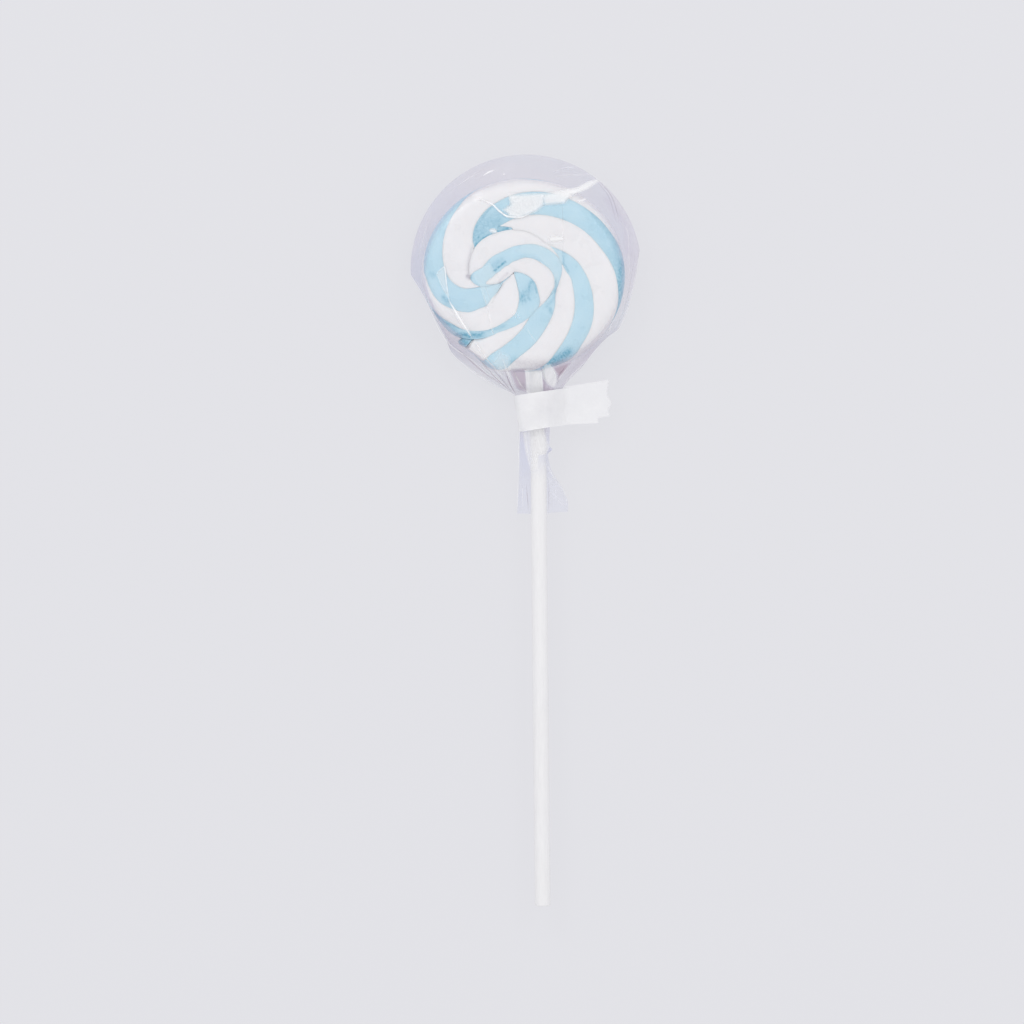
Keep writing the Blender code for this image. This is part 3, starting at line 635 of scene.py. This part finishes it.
def make_stick():
    """Rolled paper stick: a long rod with a faint lap line, soft ends and a spiral at each end."""
    sides, rows = 72, 160
    length = STICK_HIGH.y - STICK_LOW.y
    round_end = 0.5 * MM
    cuts = [round_end * (1 - math.cos(t)) for t in np.linspace(0, math.pi / 2, 6)]
    ys = sorted(set(cuts + [length - cut for cut in cuts] + list(np.linspace(1 * MM, length - 1 * MM, rows))))
    turns = [2 * math.pi * i / sides for i in range(sides)]
    points = []
    for y in ys:
        end = min(y, length - y)
        soft = round_end - math.sqrt(max(round_end ** 2 - max(round_end - end, 0) ** 2, 0))
        for turn in turns:
            lap = (turn - 0.9 - y / length * 0.8) % (2 * math.pi)
            step = 0.05 * MM * (1 - math.exp(-lap / 0.12)) * (1 - lap / (2 * math.pi))
            wave = 0.03 * MM * noise.noise(Vector((math.cos(turn), math.sin(turn), y * 90)))
            radius = STICK_RADIUS - 0.06 * MM - soft + step + wave
            points.append((STICK_X + radius * math.cos(turn), STICK_LOW.y + y,
                           MID_Z + radius * math.sin(turn)))
    faces = loft_faces(len(ys), sides)
    for start, inward in ((0, 1), ((len(ys) - 1) * sides, -1)):
        ring = list(range(start, start + sides))
        rim = np.array(points[start:start + sides])
        centre = np.array((STICK_X, rim[0][1], MID_Z))
        for share in (0.8, 0.6, 0.4, 0.2):
            spots = centre + (rim - centre) * share
            spots[:, 1] += inward * 0.12 * MM * (0.5 + 0.5 * np.sin(14 * share + np.array(turns)))
            inner = list(range(len(points), len(points) + sides))
            points += list(spots)
            faces += [(ring[i - 1], ring[i], inner[i], inner[i - 1]) for i in range(sides)]
            ring = inner
        fan_cap(points, faces, ring)
    stick = add_piece("paper_stick", points, faces, white_paper(), 40, replaces=["stick"])
    outward(stick)


# ---- wrapper

def film_edges(y):
    """x of the wrapper's left and right edges."""
    half = np.sqrt(np.maximum(FILM_RADIUS ** 2 - (y - FILM_CENTRE[1]) ** 2, 0))
    return [np.where(y / MM >= rows[0][0], FILM_CENTRE[0] + side * half, through(rows, y / MM) * MM)
            for side, rows in ((-1, FILM_LEFT), (1, FILM_RIGHT))]


def fold_distance(x, y):
    """How far points are from the nearest folded edge."""
    step = 0.5 * MM
    edges = zip((-1, 1), film_edges(y), film_edges(y + step))
    beside = [side * (edge - x) / np.hypot(1, (above - edge) / step) for side, edge, above in edges]
    round_part = FILM_RADIUS - np.hypot(x - FILM_CENTRE[0], y - FILM_CENTRE[1])
    upper = y > FILM_RIGHT[0][0] * MM
    return np.maximum(np.where(upper, round_part, np.minimum(*beside)), 0)


def candy_depth(x, y):
    """How far points are inside the candy's outline."""
    degrees = np.degrees(np.arctan2(y - COIL_CENTRE[1], x - COIL_CENTRE[0]))
    degrees = np.where(degrees < ROPE_START, degrees + 360, degrees)
    return coil_edge(degrees) - np.hypot(x - COIL_CENTRE[0], y - COIL_CENTRE[1])


def film_half_height(x, y):
    """Half height of the wrapper: over the candy, over the stick, or towards its fold."""
    depth = candy_depth(x, y) + FILM_OFFSET
    shoulder = ROPE_HALF_WIDTH + FILM_OFFSET
    out = np.clip(1 - depth / shoulder, 0, 1)
    over_candy = (CANDY_HALF + FILM_OFFSET) * (1 - out ** SECTION_POWER) ** (1 / SECTION_POWER)
    beside_stick = (STICK_RADIUS + FILM_OFFSET) ** 2 - (x - STICK_X) ** 2
    below = y < CANDY_LOW.y + 1 * MM
    over_stick = np.where(below, np.sqrt(np.maximum(beside_stick, 0)), 0)
    fullness = through(FILM_FULLNESS, y / MM) * MM
    beside_fold = 0.04 * MM + fullness * np.tanh(FILM_SLOPE * fold_distance(x, y) / fullness)
    return np.minimum(np.maximum(np.maximum(over_candy, over_stick), beside_fold), CANDY_HALF + FILM_OFFSET)


def polyline_distance(x, y, line):
    """Distance from points to a line of one or more segments, in mm."""
    nearest = np.full(x.shape, np.inf)
    for (ax, ay), (bx, by) in zip(line, line[1:]):
        dx, dy = bx - ax, by - ay
        along = np.clip(((x - ax) * dx + (y - ay) * dy) / (dx * dx + dy * dy), 0, 1)
        nearest = np.minimum(nearest, np.hypot(x - ax - along * dx, y - ay - along * dy))
    return nearest


def field(x, y, scale, seed):
    """Smooth noise between about -1 and 1 at points in mm."""
    flat = [noise.noise(Vector((a / scale, b / scale, seed))) for a, b in zip(x.ravel(), y.ravel())]
    return np.array(flat).reshape(x.shape)


def wrinkles(x, y, side):
    """How far the film is pressed in, in mm: straight crinkles, and gathers towards the neck."""
    warp = field(x, y, 9.0, 3.1 + side) * 1.6
    depth = np.zeros_like(x)
    for k, (angle, length, size) in enumerate(((20, 9.0, 0.2), (75, 6.5, 0.14), (130, 11.0, 0.22))):
        turn = math.radians(angle + 13 * side)
        phase = (x * math.cos(turn) + y * math.sin(turn) + warp) / length + 0.37 * k
        fold = np.abs((phase % 1) * 2 - 1)
        mask = np.clip(0.5 + field(x, y, 12.0, 7.7 * k + side) * 1.5, 0, 1)
        depth += size * fold * mask
    reach = np.hypot(x - NECK[0], y - NECK[1])
    angle = np.arctan2(y - NECK[1], x - NECK[0])
    bend = field(x, y, 7.0, 21.0 + side)
    waves = np.abs(np.sin(angle * 9 + bend * 2.5)) * (0.6 + 0.4 * np.sin(angle * 23 + bend * 4))
    gathered = np.clip(1 - (reach - 4) / 16, 0, 1) * np.clip((reach - 1) / 5, 0, 1) * (y > -37)
    return depth + 0.5 * waves * gathered


def film_point(x, y, side, lift=0):
    """Height of the film's front (1) or back (-1) sheet at points in metres."""
    height = film_half_height(x, y)
    pressed = wrinkles(x / MM, y / MM, side) * MM * np.clip(height / (2 * MM), 0, 1)
    resting = (candy_depth(x, y) > 0) | (np.abs(x - STICK_X) < STICK_RADIUS + FILM_OFFSET)
    pressed = np.where(resting, np.minimum(pressed, FILM_OFFSET - 0.1 * MM), pressed)
    return MID_Z + side * (np.maximum(height - pressed, 0) + lift)


# The second value is white haze and painted highlights, the third painted mauve shade and reflection.
FILM_VALUES = ("veil", "haze_and_highlight", "mauve_shade", "speckle", "cool", "warm")
FILM_COLUMNS = 160
FILM_STEPS = 235


def film_sheet(side, points, values):
    """One sheet of the wrapper, from the top of its round part to its cut tail."""
    share = np.linspace(0, 1, FILM_COLUMNS)
    share = 0.45 * (0.5 - 0.5 * np.cos(np.pi * share)) + 0.55 * share
    top = np.linspace(math.radians(2), math.radians(96), 100)
    rows = FILM_CENTRE[1] + FILM_RADIUS * np.cos(top)
    bottom = FILM_LOW.y + 0.1 * MM
    rows = np.concatenate((rows, np.linspace(rows[-1], bottom, FILM_STEPS - len(rows) + 1)[1:]))
    start = len(points)
    for base_y in rows:
        tail = max((TAIL_START - base_y) / (TAIL_START - bottom), 0)
        y = base_y + np.zeros(FILM_COLUMNS)
        if side == 1:
            y += tail * (FRONT_TAIL_END - bottom - 1.3 * MM * share)
        else:
            y += tail * 0.9 * MM * (np.abs(share - 0.3) - 0.3)
        left, right = film_edges(y)
        x = left + (right - left) * share
        points += list(zip(x, y, film_point(x, y, side)))
        looks = film_looks(x / MM, y / MM, side)
        ending = np.clip((y - FRONT_TAIL_END) / FRONT_TAIL_FADE, 0, 1)
        looks[0] *= np.where(candy_depth(x, y) > 1 * MM, 0.15, 1) * (ending if side == 1 else 2 - ending)
        for label, look in zip(FILM_VALUES, looks):
            values[label] += list(look)
    return loft_faces(len(rows), FILM_COLUMNS, False, start)


def make_film():
    """The wrapper: a front and a back sheet that meet along the folded edge, open at the tail."""
    points, values = [], {label: [] for label in FILM_VALUES}
    faces = film_sheet(1, points, values) + film_sheet(-1, points, values)
    film = add_piece("wrapper_film", points, faces, clear_film(), 180, values, ["film"])
    make_creases()


# How strongly the free film veils what lies under it: points in mm and strength.
VEILS = ((0, 34, 0.10), (-30, 12, 0.17), (-33, 0, 0.19), (-25, -17, 0.3), (33, 5, 0.16), (29, -12, 0.06),
         (19, -26, 0.34), (-12, -29, 0.12), (15, -28, 0.15), (3, -40, 0.2), (3, -50, 0.14),
         (-2, -50, 0.24), (3, -64, 0.085), (9, -62, 0.03))

# Places where the front of the film is doubled or pressed flat, or gets a painted highlight: outline in mm,
# width of its soft edge, how white it is (haze and painted highlights), and how much painted mauve shade and
# reflection, and how speckled, where it is either.
PATCHES = (
    (((22.8, 28), (19.9, 27.4), (16, 25.3), (12, 24.6), (12.8, 22.6), (14.7, 23.5), (16.8, 24.3),
      (19.3, 25.4)), 0.5, 0.72),
    (((14, 24.9), (6.1, 23.4), (6.3, 20.5), (12.2, 20.9), (14.4, 23.4)), 1, 0.85, 0, 0.15),
    (((-4.1, 23.3), (6.6, 23.7), (6, 20.4), (4, 18.9), (-0.6, 17.2), (-3.7, 17.4), (-5.7, 19),
      (-3.6, 20.5)), 0.9, 0.92, 0, 0.3),
    (((-4.4, 17.3), (-1.1, 16.7), (4, 18.7), (6, 20.4), (0.5, 19.4), (-3.6, 19)), 1, 0.92, 0, 0.1),
    (((-25.7, 0.4), (-23.4, 2.6), (-22, -7.3)), 0.4, 0.34),
    (((7, 9.7), (11.5, 6.1), (11.5, 2), (9.4, -4.6)), 0.8, 0.14),
    (((-14.9, -0.4), (-13.5, 1.2), (-9.9, 3.4), (-8.5, 1), (-6.9, -2.4), (-7.1, -4.5), (-9.3, -8.2),
      (-11.2, -9), (-12.9, -3.2)), 0.5, 0.16),
    (((6.4, -26.6), (5.5, -28.5), (6, -30.6), (7.4, -32.4), (8.8, -33), (9.3, -31.5), (9, -29.2),
      (7.8, -27)), 0.9, 0.22),
    (((0.5, -28.4), (4.9, -28.8), (5.2, -34.6), (1, -35.2)), 0.8, 0.34),
    (((-4.1, -28.4), (0.3, -28.4), (0.6, -34.5), (-2.3, -33.5)), 0.8, 0, 0.6),
    (((8.6, -27.6), (13.7, -26), (11.4, -29.3), (10, -30)), 0.8, 0, 0.75),
    (((5, -27.4), (5.2, -30.6), (6.8, -32.8), (8.8, -33.8), (8.8, -35), (5.6, -35.2), (5, -32)), 0.8, 0,
     0.5),
    (((27.5, -16), (24, -18.8), (14.5, -29), (11.5, -33), (14, -27), (23, -19)), 1.6, 0, 0.16),
    (((-22.5, -20.5), (-17.5, -21.5), (-13.5, -24.5), (-8.5, -26.5), (-9, -28.5), (-14.5, -26.8)), 1.6, 0,
     0.14),
    (((-7.3, -22.7), (-4.4, -24), (-4.2, -27.6), (-7, -28), (-9.5, -26)), 1.2, 0.28),
    (((2.5, -45.6), (3.2, -49.3), (4.2, -52.8), (5.9, -52.6), (6.6, -50.7), (5.5, -47.3), (5, -45.6)), 1.4,
     0.45),
    (((7, -51), (8.1, -51.8), (7, -53.1), (6.4, -52.2)), 0.4, 0, 0.3),
    (((-0.4, -46.6), (0.4, -52.7), (1.7, -57.8), (2.4, -57.8), (1, -52), (0.4, -46.6)), 1.2, 0.2),
    (((-26.5, -11.5), (-22, -18), (-18.5, -20.8), (-12.5, -25.6), (-10.5, -28), (-13.5, -27.8),
      (-22, -20.5)), 1.5, 0, 0.16),
    (((1, -44), (3, -44), (3.5, -52), (3, -57), (2.4, -57), (1.6, -52)), 2.4, 0.25),
    (((-2, 7), (1, 9.8), (5, 9.4), (8.5, 6.5), (11, 2), (9.5, -1), (7, 2), (4, 5.5), (0, 5.8)), 1.5, 0.14),
    (((7.5, 10.3), (8.3, 10.9), (9.8, 11.1), (11.3, 10.9), (12, 10.4), (11.3, 9.9), (9.7, 9.7), (8.2, 9.8)),
     0.7, 0.8),
    (((23.5, 22.5), (29, 14), (30.5, 5), (32.3, 5.5), (30.6, 15), (25.5, 23.5)), 1.4, 0, 0.12),
)


def outline_distance(x, y, outline):
    """Distance from points to a closed outline in mm, positive inside it."""
    closed = (*outline, outline[0])
    inside = np.zeros(x.shape, bool)
    for (ax, ay), (bx, by) in zip(closed, closed[1:]):
        if ay != by:
            inside ^= ((ay > y) != (by > y)) & (x < ax + (y - ay) * (bx - ax) / (by - ay))
    return polyline_distance(x, y, closed) * np.where(inside, 1, -1)


def film_looks(x, y, side):
    """The film's values, in the order of FILM_VALUES, at points in mm."""
    near = [np.exp(-np.hypot(x - px, y - py) / 7) for px, py, _ in VEILS]
    veil = sum(share * strength for share, (_, _, strength) in zip(near, VEILS)) / sum(near)
    # The patches' white (haze and painted highlights), painted mauve shade and speckle.
    pressed = np.zeros((3, *x.shape))
    for outline, soft, *looks in PATCHES if side == 1 else ():
        cover = np.clip(0.5 + outline_distance(x, y, outline) / soft, 0, 1)
        for i, look in enumerate(looks):
            pressed[i] = np.maximum(pressed[i], look * cover)
    cool = np.clip((-42 - y) / 8, 0, 1)
    return [veil, *pressed, cool, np.clip((-6 - y) / 10, 0, 1) * (1 - cool)]


# Sharp creases in the front of the film, painted white as highlights or mauve as shade, with a few short
# painted glints: line in mm, half width in mm, strength, and 1 where mauve.
CREASES = (
    (((-22.4, -6.8), (-21.8, -7.9), (-19.2, -12.4), (-15.2, -18.8)), 0.5, 1),
    (((-25.7, 0.4), (-23.4, 2.4), (-22.7, -2.7), (-22, -7.3)), 0.24, 0.8),
    (((-25.7, 0.4), (-24, -3.6), (-22, -7.3)), 0.16, 0.4),
    (((-15.2, -18.8), (-11.2, -24.7), (-4.1, -32.4)), 0.2, 0.6),
    (((-13.8, 22.6), (-9.2, 20.8), (-6.7, 18.5), (-4.2, 17), (-1.1, 16.8), (4, 19)), 0.36, 1),
    (((22.6, 27.9), (19.9, 27.4), (16, 25.1), (13.7, 24.9), (8.1, 23.7)), 0.2, 0.5),
    (((22.7, 27.8), (19.3, 25.4), (16.8, 24.3), (14.7, 23.6)), 0.16, 0.5),
    (((-13, -2.8), (-11.3, -7.9), (-9.1, -18.1)), 0.16, 0.3),
    (((-11.5, -2.8), (-10, -7.4)), 0.14, 0.25),
    (((-9.8, -15.3), (-8.8, -18.1)), 0.18, 0.35),
    (((-3.7, -10.6), (-1.7, -13.6)), 0.14, 0.35),
    (((-2.7, -10.3), (-0.7, -13.4)), 0.14, 0.35),
    (((0.6, -15.7), (3.6, -20.3)), 0.14, 0.35),
    (((11.6, 20.9), (11.8, 12.2), (11.5, 3)), 0.14, 0.16),
    (((26.6, -11.4), (26.1, -13.9), (24.5, -18)), 0.24, 0.4),
    (((-11.9, 29.1), (-9.6, 30.5), (-7.9, 31)), 0.32, 0.9),
    (((-5.8, 29.6), (-5.2, 29.6)), 0.32, 0.9),
    (((-10.1, 13.1), (-8.9, 12.9), (-7.5, 12.4)), 0.85, 1),
    (((16.2, 21.3), (19, 22.1)), 0.4, 0.7),
    (((-33, 0.5), (-29.3, -5.6), (-25.4, -13.4), (-22.2, -19.6)), 0.22, 0.4),
    (((-29.3, -6.2), (-22.3, -19.9), (-15.3, -25.2), (-7.2, -32.6), (-4.2, -35)), 0.2, 0.5),
    (((-22, -22), (-15.5, -28), (-9.2, -32), (-3.2, -35)), 0.2, 0.4),
    (((-20.3, -21.1), (-11.2, -29.3), (-4.7, -33.4)), 0.22, 0.5, 1),
    (((-17.8, -22.8), (-11, -28), (-5, -32.4)), 0.18, 0.45),
    (((-14, -23.9), (-9.3, -29.5), (-3.3, -35.2)), 0.2, 0.55, 1),
    (((-7.1, -23.5), (-5.1, -28.4), (-3.1, -33.5)), 0.22, 0.6),
    (((-5.9, -28.2), (-4.3, -32.3), (-2.6, -35.2)), 0.2, 0.55, 1),
    (((-3.2, -28.6), (-1.2, -32.3), (0.5, -34.5)), 0.22, 0.6),
    (((-12.4, -26), (-8.6, -29.8), (-4.6, -34.4)), 0.16, 0.4),
    (((-9.8, -27.4), (-6.6, -31), (-3.6, -34.8)), 0.16, 0.4, 1),
    (((6.9, -25.6), (8, -27.6), (9.1, -30), (8.6, -33)), 0.22, 0.6),
    (((13.7, -26.2), (11.2, -29.5), (9.1, -32.1)), 0.2, 0.55),
    (((12, -27.2), (10.2, -30.2), (9.8, -32.4)), 0.2, 0.5, 1),
    (((17, -27), (13.4, -30.2), (10.6, -33.2)), 0.18, 0.45),
    (((20.5, -23.2), (15.6, -28.2), (11.4, -33)), 0.16, 0.4),
    (((9.2, 30.3), (12.6, 31.4), (15.8, 31.8)), 0.16, 0.35),
    (((8.7, 28.5), (14.6, 29.3), (20.9, 29.3)), 0.16, 0.35),
    (((26.9, 18.2), (31.1, 11), (31.3, -3.3)), 0.16, 0.35),
    (((22.3, 27.9), (26.4, 22.6), (28.6, 15)), 0.16, 0.3, 1),
    (((-27.6, 18.6), (-29.2, 12), (-31.4, 4)), 0.16, 0.3),
    (((-22.4, 24.2), (-17, 28), (-11, 31.6)), 0.14, 0.3),
    (((34.2, 6.9), (32.1, -4.8), (28, -15.9), (24, -19.2)), 0.2, 0.35),
    (((6, -54.8), (7.4, -58.2), (9.4, -61.3)), 0.18, 0.5),
    (((-0.3, -46.6), (0.6, -52.7), (1.9, -57.8)), 0.18, 0.2),
    (((-1.9, -46.8), (-2, -52), (-2, -59.8)), 0.14, 0.25),
    (((7.2, -46), (7.1, -50.4)), 0.16, 0.25),
)
# The same for the tail's back layer.
TAIL_CREASES = (
    (((6.3, -59.9), (8, -64.3), (11.8, -68.8)), 0.18, 0.5),
    (((8.8, -61.8), (8.7, -66), (8.3, -67.4)), 0.16, 0.45),
    (((-1, -61.5), (-0.9, -69)), 0.16, 0.5),
    (((0.2, -61.5), (0.8, -69.7)), 0.16, 0.4, 1),
    (((8.7, -60.3), (11.7, -65.2), (12.4, -69.4)), 0.18, 0.5),
    (((-2.2, -61), (-2.5, -69.6)), 0.14, 0.4),
    (((6.9, -61), (6.8, -70)), 0.18, 0.35, 1),
)


def crease_strip(crease, side, points, faces, values):
    """Low ridge along a line on the film, thinner towards its ends."""
    line, width, strength, *mauve_shade = crease
    line = np.array(line, float)
    reach = np.append(0, np.cumsum(np.hypot(*np.diff(line, axis=0).T)))
    count = max(int(reach[-1] / 0.35), 6)
    at = np.linspace(0, reach[-1], count)
    spot = np.array([through(list(zip(reach, line[:, axis])), at) for axis in (0, 1)])
    ahead = np.gradient(spot, axis=1)
    across = np.array([-ahead[1], ahead[0]]) / np.hypot(*ahead)
    taper = np.maximum(np.sin(np.pi * np.linspace(0, 1, count)), 0.02) ** 0.5
    faces += loft_faces(3, count, False, len(points))
    for offset, lift, share in ((-1, 0.02, 0.3), (0, 0.05, 1), (1, 0.02, 0.3)):
        x, y = (spot + across * offset * width * taper) * MM
        z = film_point(x, y, side, lift * MM)
        if crease in TAIL_CREASES:
            z = MID_Z - film_half_height(x, y) + 0.1 * MM
        points += list(zip(x, y, z))
        # The crease's painted highlight, strongest along its middle, and its painted mauve shade.
        values["haze_and_highlight"] += list(strength * share * taper)
        values["mauve_shade"] += (mauve_shade or [0]) * count


def make_creases():
    """The sharp creases in the film with their painted highlights and shade, as one thin piece that lies on
    it.
    """
    points, faces, values = [], [], {"haze_and_highlight": [], "mauve_shade": []}
    for crease in CREASES + TAIL_CREASES:
        crease_strip(crease, 1, points, faces, values)
    for line, *looks in CREASES[2::3]:
        crease_strip(([(x * 0.97, y) for x, y in line], *looks), -1, points, faces, values)
    creases = add_piece("crease_glints_and_shade", points, faces, crease_glint_and_shade(), 180, values)


# ---- tape

TAPE_HALF = 4.75 * MM         # half height of the tape where it is highest
TAPE_MIDDLE = 5.0             # mm, x from which it slopes down to its ends
TAPE_MEET = 13.0              # mm, x from which its two ends are stuck together
SHORT_END = 21.6              # mm
TAPE_GAP = 0.1 * MM           # between its two layers where they are stuck together
TAPE_LEFT = (-3.35, 1.65)     # mm, x of its left end at the top, and its lean over the height
# Top and bottom edges of the front and back layers, each the lowest of some lines: y at x = 0 in mm, rise.
TAPE_EDGES = {1: (((-35.25, 0.14), (-33.75, 0.005)), ((-46.2, 0.15), (-44.7468, 0.035))),
              -1: (((-35.1, 0.158),), ((-46.2, 0.172),))}
TAPE_COVER = ((-4, 0.84), (8, 0.8), (13, 0.58), (21, 0.56), (26, 0.4))  # x in mm, how opaque
# Cut edge of the long end: share of the way down, x in mm.
LONG_END = ((0, 25.1), (0.2, 24.7), (0.39, 24.4), (0.66, 25.8), (0.84, 24.7), (1, 25.3))


def tape_height(x, left):
    """Half height of the tape at x, both in mm."""
    if x >= TAPE_MIDDLE:
        share = kept((x - TAPE_MIDDLE) / (TAPE_MEET - TAPE_MIDDLE))
        return TAPE_HALF * (0.5 + 0.5 * math.cos(math.pi * share)) ** 0.9
    out = kept((TAPE_MIDDLE - x) / (TAPE_MIDDLE - left))
    return TAPE_HALF * (1 - out ** 2.6) ** (1 / 2.6)


def make_tape():
    """One strip of tape round the neck, with its two ends stuck together as a flag."""
    rows = 40
    bend = [math.cos(t) for t in np.linspace(0, math.pi / 2, 26)]
    places = [(1, 2 - k / 16) for k in range(16)] + [(1, at) for at in bend]
    places += [(-1, 1 - at) for at in bend[1:]] + [(-1, 1 + k / 22) for k in range(1, 23)]
    points, cover = [], []
    for side, at in places:
        for row in range(rows):
            share = row / (rows - 1)
            left = TAPE_LEFT[0] + TAPE_LEFT[1] * share
            end = SHORT_END if side == 1 else float(np.interp(share, *zip(*LONG_END)))
            x = left + (TAPE_MEET - left) * min(at, 1) + (end - TAPE_MEET) * max(at - 1, 0)
            top, low = (min(start + rise * x for start, rise in lines) for lines in TAPE_EDGES[side])
            y = top + (low - top) * share
            tooth = 0.7 * abs((share * 9.5) % 1 - 0.5) - 0.35 if (side, at) == (-1, 2) else 0
            high, waves = (tape_height(x, left), 1) if at <= 1 else (0, 0.4)
            lift = 0.06 * MM * noise.noise(Vector((x / 3, y / 3, side))) * waves
            points.append(((x + tooth) * MM, y * MM, MID_Z + side * (high + TAPE_GAP / 2) + lift))
            cover.append(float(through(TAPE_COVER, x)))
    faces = loft_faces(len(places), rows, closed=False)
    tape = add_piece("tape_strip", points, faces, white_tape(), 180, {"cover": cover}, ["tape"])


# ---- stage, light and camera

FLOOR_GLOW = 0.82             # share of the floor's light that shines from below
HORIZON = (0.78, 0.78, 0.79)  # light from the side
ZENITH = (0.96, 0.96, 0.97)   # light from above
LAMPS = (("key", (-0.45, 0.55, 0.75), 0.25, 0.9), ("fill", (0.5, 0.35, 0.8), 0.2, 0.5))


def make_stage():
    """Plain pale floor, even light from all round and two soft lamps."""
    bpy.ops.mesh.primitive_plane_add(size=6, location=(0, 0, CAD_BOX[0].z - 0.1 * MM))
    floor = bpy.context.object
    floor.name = "floor"
    made, tree, surface, place = new_material("floor")
    tone = mixed(tree, mottle(tree, place, 8, 1), (0.765, 0.765, 0.803), (0.772, 0.772, 0.805))
    body, glow = node(tree, "BsdfDiffuse", Color=tone), node(tree, "Emission", Color=tone)
    feed(tree, surface, layered(tree, FLOOR_GLOW, body, glow))
    floor.data.materials.append(made)
    world = bpy.data.worlds.new("studio")
    bpy.context.scene.world = world
    world.use_nodes = True
    sky = world.node_tree
    split = node(sky, "SeparateXYZ", Vector=node(sky, "TexCoord").outputs["Generated"])
    high = ramp(sky, split.outputs["Z"], 0, 1, 0, 1)
    feed(sky, sky.nodes["Background"].inputs["Color"], mixed(sky, high, HORIZON, ZENITH))
    for name, place, size, power in LAMPS:
        light = bpy.data.lights.new(name, "AREA")
        light.size = size
        light.energy = power
        lamp = bpy.data.objects.new(name, light)
        lamp.location = place
        lamp.rotation_euler = (-Vector(place)).to_track_quat("-Z", "Y").to_euler()
        bpy.context.scene.collection.objects.link(lamp)


VIEW_WIDTH = 302.66 * MM      # what the camera sees across, at the height of the stick
VIEW_CENTRE = (-4.08 * MM, -70.01 * MM)
VIEW_TURN = math.radians(-0.558)
VIEW_DISTANCE = 2.2


def make_camera():
    """A long lens straight above the lollipop."""
    camera = bpy.data.cameras.new("camera")
    camera.sensor_width = 36
    camera.lens = 36 * VIEW_DISTANCE / VIEW_WIDTH
    camera.clip_end = 20
    eye = bpy.data.objects.new("camera", camera)
    eye.location = (*VIEW_CENTRE, MID_Z + VIEW_DISTANCE)
    eye.rotation_euler = (0, 0, VIEW_TURN)
    bpy.context.scene.collection.objects.link(eye)
    bpy.context.scene.camera = eye
    bpy.context.scene.view_settings.view_transform = "Standard"


make_camera()
make_candy()
make_stick()
make_film()
make_tape()
make_stage()
